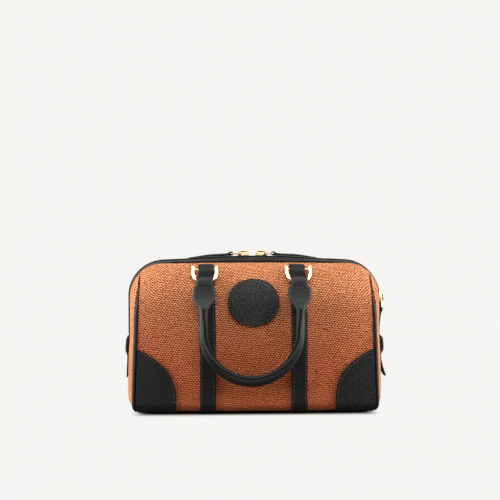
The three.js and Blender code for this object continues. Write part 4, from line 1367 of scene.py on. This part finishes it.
def ring(name, side):
    """A ring bent from flat brass: two arms joined below by a bar, with a pin across above."""
    half_gap = RING_BAR_GAP / 2
    tilt = (RING_TOP_LIFT - RING_BOTTOM_LIFT) / RING_BAR_GAP

    def raised(x, y):
        return Vector((x, y, (RING_TOP_LIFT + RING_BOTTOM_LIFT) / 2 + tilt * y))

    arm = [raised(RING_TOP_HALF, y) for y in spread(RING_ARM_TOP, half_gap - RING_BEND, RING_STEPS)]
    knee = (
        raised(RING_TOP_HALF, half_gap - RING_BEND),
        raised(RING_TOP_HALF + RING_BOW, 0),
        raised(RING_BOTTOM_HALF + 2 * RING_BOW, RING_CURL / 2 - half_gap / 2),
        raised(RING_BOTTOM_HALF + RING_BOW, RING_CURL - half_gap),
    )
    heel = (
        raised(RING_BOTTOM_HALF + RING_BOW, RING_CURL - half_gap),
        raised(RING_BOTTOM_HALF, -half_gap),
        raised(RING_BOTTOM_HALF - RING_CURL, -half_gap),
    )
    shares = spread(0, 1, RING_STEPS)[1:]
    half = arm + [curve(knee, s) for s in shares] + [curve(heel, s) for s in shares]
    centres = half + [Vector((-p.x, p.y, p.z)) for p in half[::-1]]

    def section(centre):
        flat = smoothstep(abs(centre.x), RING_ARM_FROM, RING_ARM_FULL)
        wide = lerp(RING_BAR, RING_ARM, flat) / 2
        thick = lerp(RING_BAR, RING_THICKNESS, flat) / 2
        return oval(wide, -thick, thick, RING_SIDES, lerp(ROUND, RING_FLAT, flat))

    placing = stiff_frame(front_face, ring_x(side), along_at(RING_HEIGHT))
    up = Vector((0, 0, 1))
    band = lofted(name, set_in(placing, rod(centres, up, section)))
    soften(band, RING_ROUND)
    pin_wire = oval(RING_BAR / 2, -RING_BAR / 2, RING_BAR / 2, RING_SIDES, ROUND)
    pin_path = [raised(x, PIN_PLACE) for x in (RING_TOP_HALF, 0, -RING_TOP_HALF)]
    pin = lofted("pin", set_in(placing, rod(pin_path, up, lambda _: pin_wire)))
    return joined(band, pin)


BAR_ALONG = along_at(RING_HEIGHT) - RING_BAR_GAP / 2
END_LENGTH = HANDLE_END["below"][-1]


def handle_end_at(side, below):
    """A handle end's middle, half width, lowest and highest points and squareness, below the bar."""
    share = below / END_LENGTH
    middle = lerp(ring_x(side), HANDLE_MIDDLE + side * HANDLE_SPACING, share)
    sizes = [read(HANDLE_END, "below", column, below) for column in ("half", "low", "high")]
    return middle, *sizes, lerp(HANDLE_END_SQUARE, ROUND, smoothstep(share, HANDLE_END_ROUNDS, 1))


def shield_half(below, inset=0.0):
    """Half the width of the shield on a handle end, or of a line inside it, down to its tip."""
    narrow = clamp((below - SHIELD_NARROWS) / (SHIELD_TIP - SHIELD_NARROWS))
    half = read(HANDLE_END, "below", "half", below) - SHIELD_MARGIN
    return max(half * math.sqrt(1 - narrow ** 2) - inset, STEP)


def shield_face(side, x, up):
    """The outer face of a handle end, by distance from its middle and up from the ring's bar."""
    middle, half, low, high, power = handle_end_at(side, -up)
    round_off = (1 - min(abs(x / half), 1.0) ** power) ** (1 / power)
    height = (low + high) / 2 + (high - low) / 2 * round_off
    return lay(front_face, middle + x, BAR_ALONG + up, height)


def handle_end(name, side):
    """A flat leather end, looped through a ring's bar, with a shield sewn on its face."""
    loops = []
    for below in spread(HANDLE_END["below"][0], END_LENGTH, HANDLE_END_ROWS):
        middle, half, low, high, power = handle_end_at(side, below)
        section = oval(half, low, high, HANDLE_END_SIDES, power)
        loops.append([lay(front_face, middle + p.x, BAR_ALONG - below, p.y) for p in section])
    body = lofted(name, rounded_ends(loops, HANDLE_END_DOME))

    def place(u, v):
        below = lerp(SHIELD_BOTTOM, SHIELD_TOP, v)
        x = (2 * u - 1) * shield_half(below)
        return lay(partial(shield_face, side), x, -below, SHIELD_THICKNESS)

    return joined(body, leather_sheet("shield", SHIELD_GRID, place, 2 * SHIELD_THICKNESS, SHIELD_ROUND))


def handle(name):
    """A rolled handle: two legs and a half circle lying on the wall, with a ridged seam."""
    top = BAR_ALONG - END_LENGTH - GAP
    centre = along_at(HANDLE_CENTRE)
    legs = spread(top, centre, HANDLE_LEG_ROWS)[:-1]
    stations = [(math.pi, along) for along in legs]
    stations += [(angle, centre) for angle in spread(math.pi, math.tau, HANDLE_BEND_ROWS)]
    stations += [(math.tau, along) for along in legs[::-1]]
    loops = []
    for angle, along in stations:
        across, up = math.cos(angle), math.sin(angle)
        radius = lerp(HANDLE_LEG_RADIUS, HANDLE_GRIP_RADIUS, -up)
        bend_turn = smoothstep(-up, 0, 1) * RIDGE_BEND_SHARE
        leg_turn = smoothstep(top - along, 0, top - centre) * (1 - RIDGE_BEND_SHARE)
        seam_angle = lerp(RIDGE_START, RIDGE_END, bend_turn + leg_turn)
        loop = []
        for i in range(HANDLE_SIDES):
            around = i / HANDLE_SIDES * math.tau
            away = [around - seam_angle - way * RIDGE_OFFSET for way in (-1, 1)]
            ridges = sum(math.exp(-(angle / RIDGE_WIDTH) ** 2) for angle in away)
            reach = radius - RIDGE_HEIGHT / 2 + RIDGE_HEIGHT * ridges
            out = HANDLE_SPACING + reach * math.cos(around)
            lift = HANDLE_LIFT + reach * math.sin(around)
            loop.append(lay(front_face, HANDLE_MIDDLE + out * across, along + out * up, lift))
        loops.append(loop)
    return lofted(name, rounded_ends(loops, GAP))


# Tabs below the zip's feet

def tab_at(form, below):
    """Where a tab's inner side lies, how thick it is and half its width, below its top."""
    height = TAB_TOP - below
    tail = TAB_TOP - TAB["below"][-1]
    bent = max(0.0, TAB_FLARE_FROM - height) / (TAB_FLARE_FROM - tail)
    inner = end_reach(height) + LAY + form["flare"] * bent ** 2
    rounding = smoothstep(below, TAB["below"][-1] - TAB_ROUND, TAB["below"][-1])
    half = TAB_HALF - TAB_ROUND * (1 - math.sqrt(1 - rounding ** 2))
    return inner, read(TAB, "below", "high", below) * form["swell"] - LAY, half


def tab_face(form, y, up):
    """The outer face of the right tab."""
    inner, thick, _ = tab_at(form, -up)
    return Vector((inner + thick, y, TAB_TOP + up))


def end_tab(name, form):
    """The right leather tab, folded double at its top."""
    loops = []
    for below in spread(0, TAB["below"][-1], TAB_ROWS):
        inner, thick, half = tab_at(form, below)
        section = oval(half, 0, thick, TAB_SIDES, TAB_SQUARE)
        loops.append([Vector((inner + p.y, p.x, TAB_TOP - below)) for p in section])
    return lofted(name, rounded_ends(loops, GAP))


# The seams that show as rows of stitches

def strap_seams(side, way, pitch):
    def route(share):
        along = lerp(HEEL_TOP, STRAP_TOP - CHAPE["up"][-1] + CHAPE["up"][0], share)
        middle, half = strap_at(side, along)
        return middle + way * (half - STITCH_INSET), along

    return seam(front_face, route, pitch)


def corner_seam(way, pitch):
    top = corner_top(STITCH_INSET)

    def route(share):
        along = lerp(HEEL_TOP, top, share)
        return way * corner_edge(along, STITCH_INSET), along

    return seam(front_face, route, pitch)


def patch_seam(pitch):
    reach = PATCH_RADIUS - PATCH_GROOVE

    def route(share):
        turn = share * math.tau
        up = reach * math.sin(turn) * PATCH_SQUASH
        return STRAP_MIDDLE + reach * math.cos(turn), along_at(PATCH_HEIGHT) + up

    return seam(front_face, route, pitch)


def shield_seams(side, pitch):
    """The stitches across a shield's top and down its two sides."""
    top = SHIELD_TOP + SHIELD_STITCH
    half = shield_half(top, SHIELD_STITCH)

    def across(share):
        return (2 * share - 1) * half, -top

    def down(way):
        def route(share):
            below = lerp(top, SHIELD_BOTTOM - SHIELD_STITCH, share)
            return way * shield_half(below, SHIELD_STITCH), -below
        return route

    return [seam(partial(shield_face, side), route, pitch) for route in (across, down(-1), down(1))]


def strip_seam(y, pitch):
    def route(share):
        return (2 * share - 1) * STRIP_LENGTH, y

    return seam(strip_face, route, pitch, STRIP_SEAM_STEPS)


def tab_seam(form, y, pitch):
    tail = TAB["below"][-1] - STITCH_INSET

    def route(share):
        return y, -lerp(STITCH_INSET, tail, share)

    return seam(partial(tab_face, form), route, pitch)


# Sizes and colours to change

def length_property(label, words, default, least):
    return FloatProperty(name=label, description=words, default=default, min=least, unit="LENGTH")


class BagSizes(PropertyGroup):
    stitch_length: length_property("Stitch length", "Length of one stitch", 0.0031, 0.001)
    stitch_pitch: length_property("Stitch pitch", "From one stitch to the next", 0.0041, 0.002)
    thread_thickness: length_property("Thread thickness", "Thickness of the thread", 0.0008, 0.0003)
    weave_across: length_property("Weave across", "Width of one warp thread", 0.00155, 0.0005)
    weave_along: length_property("Weave along", "Width of one weft thread", 0.00202, 0.0005)
    grain_size: length_property("Grain size", "Size of the leather's pebbles", 0.003, 0.0005)


def colour_property(label, words, default):
    return FloatVectorProperty(
        name=label, description=words, subtype="COLOR", size=3, min=0.0, max=1.0, default=default
    )


class BagColours(PropertyGroup):
    cloth_thread: colour_property("Cloth thread", "Top of the woven threads", (0.93, 0.33, 0.125))
    cloth_gap: colour_property("Cloth gap", "Shade between the woven threads", (0.13, 0.002, 0.0005))
    leather: colour_property("Leather", "Black leather of the trim and handles", (0.008, 0.0082, 0.0072))
    brass: colour_property("Brass", "Pale gold plate of rings and sliders", (0.84, 0.66, 0.38))
    tape: colour_property("Zip tape", "Black tape and coil of the zip", (0.008, 0.008, 0.008))
    thread: colour_property("Thread", "Thread of the stitches on the leather", (0.05, 0.049, 0.045))
    floor: colour_property("Floor", "Pale floor and background", (0.913, 0.905, 0.888))


# Operators that make the pieces

def front_and_back(front, dress):
    """Dress a piece of the front, and its mirrored copy at the back, under their own names."""
    back = mirrored(front, front.name.replace("front_", "back_"), y=-1)
    return [dress(front), dress(back)]


def at_corners(front_right, dress):
    """Dress a piece of the front right, and its mirrored copies at the other three corners."""
    front_left = mirrored(front_right, front_right.name.replace("_right", "_left"), x=-1)
    return front_and_back(front_right, dress) + front_and_back(front_left, dress)


def on_both_sides(make, name, dress):
    """Make and dress a piece left and right on the front, with its copies at the back."""
    for place, side in SIDES.items():
        front_and_back(make(f"front_{place}_{name}", side), dress)


def dresser(context, finish):
    """A function that dresses a piece for the solid of its name, less the finish's last word."""
    material = finish_called(finish, context)
    word = finish.split()[-1]

    def dress(obj):
        return dressed(obj, material, SLOTS[word], obj.name.removesuffix("_" + word))

    return dress


class BAG_OT_cloth_walls(Operator):
    """Make the four woven walls"""

    bl_idname = "bag.cloth_walls"
    bl_label = "Cloth Walls"
    bl_options = {"REGISTER", "UNDO"}

    def execute(self, context):
        dress = dresser(context, "Rust woven cloth")
        for wall in front_and_back(front_wall("front_panel_cloth"), dress):
            cut_area(wall)
        right = end_wall("right_end_panel_cloth")
        left = mirrored(right, "left_end_panel_cloth", x=-1)
        # The end walls get a copy of the cloth with painted light that makes them paler
        dress_end = dresser(context, "Rust end cloth")
        for wall in (right, left):
            dress_end(wall)
            cut_area(wall)
        return {"FINISHED"}


class BAG_OT_base(Operator):
    """Make the leather base"""

    bl_idname = "bag.base"
    bl_label = "Base"
    bl_options = {"REGISTER", "UNDO"}

    def execute(self, context):
        dresser(context, "Trim leather")(base("base_panel_leather"))
        return {"FINISHED"}


class BAG_OT_piping(Operator):
    """Make the piping down the four upright edges"""

    bl_idname = "bag.piping"
    bl_label = "Piping"
    bl_options = {"REGISTER", "UNDO"}

    def execute(self, context):
        dress = dresser(context, "Smooth leather")
        at_corners(right_piping("front_right_piping_leather"), dress)
        return {"FINISHED"}


class BAG_OT_corners(Operator):
    """Make the leather on the four lower corners"""

    bl_idname = "bag.corners"
    bl_label = "Corners"
    bl_options = {"REGISTER", "UNDO"}

    def execute(self, context):
        dress = dresser(context, "Trim leather")
        at_corners(right_corner("front_right_corner_leather"), dress)
        return {"FINISHED"}


class BAG_OT_zip_strips(Operator):
    """Make the two leather strips beside the zip"""

    bl_idname = "bag.zip_strips"
    bl_label = "Zip Strips"
    bl_options = {"REGISTER", "UNDO"}

    def execute(self, context):
        dress = dresser(context, "Trim leather")
        front_and_back(front_zip_strip("front_zip_strip_leather"), dress)
        return {"FINISHED"}


class BAG_OT_zip(Operator):
    """Make the zip's tape and coil"""

    bl_idname = "bag.zip"
    bl_label = "Zip"
    bl_options = {"REGISTER", "UNDO"}

    def execute(self, context):
        black = finish_called("Black zip tape", context)
        tape = dressed(zip_tape("zipper_tape_cloth"), black, "zip_tape", "zipper_tape")
        coil = dressed(zip_coil("zipper_coil"), black, "zip_tape")
        return {"FINISHED"}


class BAG_OT_sliders(Operator):
    """Make the brass sliders, their links and their leather pulls"""

    bl_idname = "bag.sliders"
    bl_label = "Sliders and Pulls"
    bl_options = {"REGISTER", "UNDO"}

    def execute(self, context):
        plate = dresser(context, "Pale gold plate")
        leather = dresser(context, "Smooth leather")
        for zip_set in ZIP_SETS:
            place = zip_set["name"]
            plate(slider(f"slider_{place}_plate", zip_set))
            plate(link(f"link_{place}_plate", zip_set))
            leather(pull(f"pull_{place}_leather", zip_set))
        return {"FINISHED"}


class BAG_OT_straps(Operator):
    """Make the four leather straps and the chapes that hold the rings"""

    bl_idname = "bag.straps"
    bl_label = "Straps"
    bl_options = {"REGISTER", "UNDO"}

    def execute(self, context):
        dress = dresser(context, "Trim leather")
        on_both_sides(strap, "strap_leather", dress)
        return {"FINISHED"}


class BAG_OT_rings(Operator):
    """Make the four brass rings"""

    bl_idname = "bag.rings"
    bl_label = "Rings"
    bl_options = {"REGISTER", "UNDO"}

    def execute(self, context):
        dress = dresser(context, "Pale gold plate")
        on_both_sides(ring, "ring_plate", dress)
        return {"FINISHED"}


class BAG_OT_handle_ends(Operator):
    """Make the four flat handle ends with their shields"""

    bl_idname = "bag.handle_ends"
    bl_label = "Handle Ends"
    bl_options = {"REGISTER", "UNDO"}

    def execute(self, context):
        dress = dresser(context, "Smooth leather")
        on_both_sides(handle_end, "handle_end_leather", dress)
        return {"FINISHED"}


class BAG_OT_handles(Operator):
    """Make the two rolled handles"""

    bl_idname = "bag.handles"
    bl_label = "Handles"
    bl_options = {"REGISTER", "UNDO"}

    def execute(self, context):
        dress = dresser(context, "Smooth leather")
        front_and_back(handle("front_handle_leather"), dress)
        return {"FINISHED"}


class BAG_OT_round_patch(Operator):
    """Make the round leather patch"""

    bl_idname = "bag.round_patch"
    bl_label = "Round Patch"
    bl_options = {"REGISTER", "UNDO"}

    def execute(self, context):
        dresser(context, "Pebbled leather")(round_patch("round_patch_leather"))
        return {"FINISHED"}


class BAG_OT_end_tabs(Operator):
    """Make the leather tabs below the zip's feet"""

    bl_idname = "bag.end_tabs"
    bl_label = "End Tabs"
    bl_options = {"REGISTER", "UNDO"}

    def execute(self, context):
        dress = dresser(context, "Trim leather")
        dress(end_tab("right_end_tab_leather", TABS["right"]))
        spare = end_tab("spare", TABS["left"])
        dress(mirrored(spare, "left_end_tab_leather", x=-1))
        bpy.data.objects.remove(spare)
        return {"FINISHED"}


class BAG_OT_stitching(Operator):
    """Sew the straps, corners, shields, patch, zip strips and tabs"""

    bl_idname = "bag.stitching"
    bl_label = "Stitching"
    bl_options = {"REGISTER", "UNDO"}

    def execute(self, context):
        sizes = context.scene.bag_sizes
        thread = finish_called("Waxed thread", context)
        pitch = sizes.stitch_pitch / MM
        length, thick = sizes.stitch_length / MM, sizes.thread_thickness / MM
        trim_top = LAY + TRIM_THICKNESS

        def dress(obj):
            return dressed(obj, thread, "zip_tape")

        edges = [strap_seams(side, way, pitch) for side in SIDES.values() for way in (-1, 1)]
        edges += [corner_seam(way, pitch) for way in (-1, 1)]
        shields = [run for side in SIDES.values() for run in shield_seams(side, pitch)]
        front = joined(
            sewn("front_stitching", edges, length, thick, trim_top),
            sewn("shield_stitching", shields, length, thick, SHIELD_THICKNESS),
        )
        front_and_back(front, dress)
        dress(sewn("patch_stitching", [patch_seam(pitch)], length, thick, trim_top - PATCH_GROOVE_DEPTH))
        rows = [strip_seam(-y, pitch) for y in STRIP_STITCHES]
        front_and_back(sewn("front_strip_stitching", rows, length, thick, 0), dress)
        for name, way in SIDES.items():
            runs = [tab_seam(TABS[name], side * (TAB_HALF - STITCH_INSET), pitch) for side in (-1, 1)]
            tab = sewn(f"{name}_tab_stitching", runs, length, thick, -TAB_STITCH_SINK)
            if way < 0:
                tab.data.transform(Matrix.Diagonal((-1, 1, 1, 1)))
                tab.data.flip_normals()
            dress(tab)
        return {"FINISHED"}


# The stage

def floor_material(colours):
    """A pale floor: close by, a dark grey that shows the bag's own shadow and is painted darker than the
    plain floor, and far away it fades out.
    """
    material = bpy.data.materials.new("Pale floor")
    material.use_nodes = True
    tree = material.node_tree
    tree.nodes.clear()
    place = node(tree, "TexCoord").outputs["Object"]
    parts = node(tree, "SeparateXYZ", {0: place}).outputs
    past = [
        calc(tree, "MAXIMUM", calc(tree, "SUBTRACT", calc(tree, "ABSOLUTE", part), half), 0.0)
        for part, half in zip(parts, FOOTPRINT)
    ]
    squares = [calc(tree, "MULTIPLY", value, value) for value in past]
    away = calc(tree, "SQRT", calc(tree, "ADD", *squares))
    glow = ranged(tree, away, *FLOOR_SHADOW, 0.0, 1.0)
    fade = ranged(tree, away, *FLOOR_FADE, 0.0, 1.0)
    seen = node(tree, "LightPath").outputs["Is Camera Ray"]
    # Painted shadow: close to the footprint the floor is dark grey, darker than the plain floor even where no
    # shadow falls
    lit = node(tree, "BsdfDiffuse", {"Color": (*FLOOR_SHADE_GREY, 1)})
    plain = node(tree, "Emission", {"Color": (*colours.floor, 1)})
    gone = node(tree, "BsdfTransparent")
    bare = calc(tree, "MULTIPLY", glow, seen)
    near = node(tree, "MixShader", {0: bare, 1: lit.outputs[0], 2: plain.outputs[0]})
    far = node(tree, "MixShader", {0: fade, 1: near.outputs[0], 2: gone.outputs[0]})
    put = node(tree, "OutputMaterial")
    tree.links.new(far.outputs[0], put.inputs["Surface"])
    return material


def make_floor(context):
    deselect()
    bpy.ops.mesh.primitive_circle_add(vertices=FLOOR_SIDES, radius=FLOOR_RADIUS, fill_type="NGON")
    floor = named("floor")
    floor.data.transform(Matrix.Translation((0, 0, -FLOOR_DROP)))
    floor.data.materials.append(floor_material(context.scene.bag_colours))


def make_world(context):
    """A plain pale background, and soft light that is strongest from above."""
    world = bpy.data.worlds.new("Studio")
    world.use_nodes = True
    context.scene.world = world
    tree = world.node_tree
    tree.nodes.clear()
    way = node(tree, "TexCoord").outputs["Generated"]
    height = node(tree, "SeparateXYZ", {0: way}).outputs[2]
    ramp = node(tree, "ValToRGB", {0: calc(tree, "MULTIPLY_ADD", height, 0.5, 0.5)})
    stops = ramp.color_ramp.elements
    while len(stops) < len(SKY):
        stops.new(1.0)
    for stop, (place, light) in zip(stops, SKY):
        stop.position = place
        stop.color = (light, light, light, 1)
    soft = node(tree, "Background", {"Color": ramp.outputs[0], "Strength": SKY_STRENGTH})
    plain = node(tree, "Background", {"Color": (*context.scene.bag_colours.floor, 1)})
    seen = node(tree, "LightPath").outputs["Is Camera Ray"]
    both = node(tree, "MixShader", {0: seen, 1: soft.outputs[0], 2: plain.outputs[0]})
    put = node(tree, "OutputWorld")
    tree.links.new(both.outputs[0], put.inputs["Surface"])


def softbox(name, place, size, power):
    """A large square lamp that points at the bag's middle and isn't seen itself."""
    lamp = bpy.data.lights.new(name, "AREA")
    lamp.shape = "RECTANGLE"
    lamp.size, lamp.size_y = size
    lamp.energy = power
    obj = bpy.data.objects.new(name, lamp)
    bpy.context.scene.collection.objects.link(obj)
    obj.location = place
    obj.rotation_euler = (MIDDLE * MM - obj.location).to_track_quat("-Z", "Y").to_euler()
    obj.visible_camera = False


def make_camera(context):
    """A camera at the photograph's angle, turned so that the bag lies where it does there."""
    lens = bpy.data.cameras.new("camera")
    lens.sensor_width = SENSOR
    lens.lens = SENSOR * FOCAL_PX / PHOTO_PX
    camera = bpy.data.objects.new("camera", lens)
    context.scene.collection.objects.link(camera)
    flat = math.cos(ELEVATION)
    back = Vector((math.sin(AZIMUTH) * flat, -math.cos(AZIMUTH) * flat, math.sin(ELEVATION)))
    camera.location = (MIDDLE + DISTANCE * back) * MM
    right_of_middle = (MIDDLE_PX[0] - PHOTO_PX / 2) / FOCAL_PX
    below_middle = (MIDDLE_PX[1] - PHOTO_PX / 2) / FOCAL_PX
    pitch = math.pi / 2 - ELEVATION + math.atan(below_middle)
    camera.rotation_euler = (pitch, 0, AZIMUTH + math.atan(right_of_middle))
    context.scene.camera = camera


class BAG_OT_stage(Operator):
    """Make the floor, the soft studio light and the camera"""

    bl_idname = "bag.stage"
    bl_label = "Stage"
    bl_options = {"REGISTER", "UNDO"}

    def execute(self, context):
        context.scene.view_settings.view_transform = "Standard"
        make_floor(context)
        make_world(context)
        for lamp in LAMPS:
            softbox(**lamp)
        make_camera(context)
        return {"FINISHED"}


MAKERS = (
    BAG_OT_cloth_walls,
    BAG_OT_base,
    BAG_OT_piping,
    BAG_OT_corners,
    BAG_OT_zip_strips,
    BAG_OT_zip,
    BAG_OT_sliders,
    BAG_OT_straps,
    BAG_OT_rings,
    BAG_OT_handle_ends,
    BAG_OT_handles,
    BAG_OT_round_patch,
    BAG_OT_end_tabs,
    BAG_OT_stitching,
    BAG_OT_stage,
)


class BAG_PT_pieces(Panel):
    """The bag's pieces, sizes and colours"""

    bl_idname = "BAG_PT_pieces"
    bl_label = "Mini Duffel Bag"
    bl_space_type = "VIEW_3D"
    bl_region_type = "UI"
    bl_category = "Bag"

    def draw(self, context):
        layout = self.layout
        for group in (context.scene.bag_sizes, context.scene.bag_colours):
            box = layout.box()
            for name in group.__annotations__:
                box.prop(group, name)
        for maker in MAKERS:
            layout.operator(maker.bl_idname)


CLASSES = (BagSizes, BagColours, *MAKERS, BAG_PT_pieces)


def register():
    for cls in CLASSES:
        bpy.utils.register_class(cls)
    bpy.types.Scene.bag_sizes = PointerProperty(type=BagSizes)
    bpy.types.Scene.bag_colours = PointerProperty(type=BagColours)


def unregister():
    del bpy.types.Scene.bag_colours
    del bpy.types.Scene.bag_sizes
    for cls in reversed(CLASSES):
        bpy.utils.unregister_class(cls)


def main():
    register()
    bpy.ops.bag.cloth_walls()
    bpy.ops.bag.base()
    bpy.ops.bag.piping()
    bpy.ops.bag.corners()
    bpy.ops.bag.zip_strips()
    bpy.ops.bag.zip()
    bpy.ops.bag.sliders()
    bpy.ops.bag.straps()
    bpy.ops.bag.rings()
    bpy.ops.bag.handle_ends()
    bpy.ops.bag.handles()
    bpy.ops.bag.round_patch()
    bpy.ops.bag.end_tabs()
    bpy.ops.bag.stitching()
    bpy.ops.bag.stage()


if __name__ == "__main__":
    main()
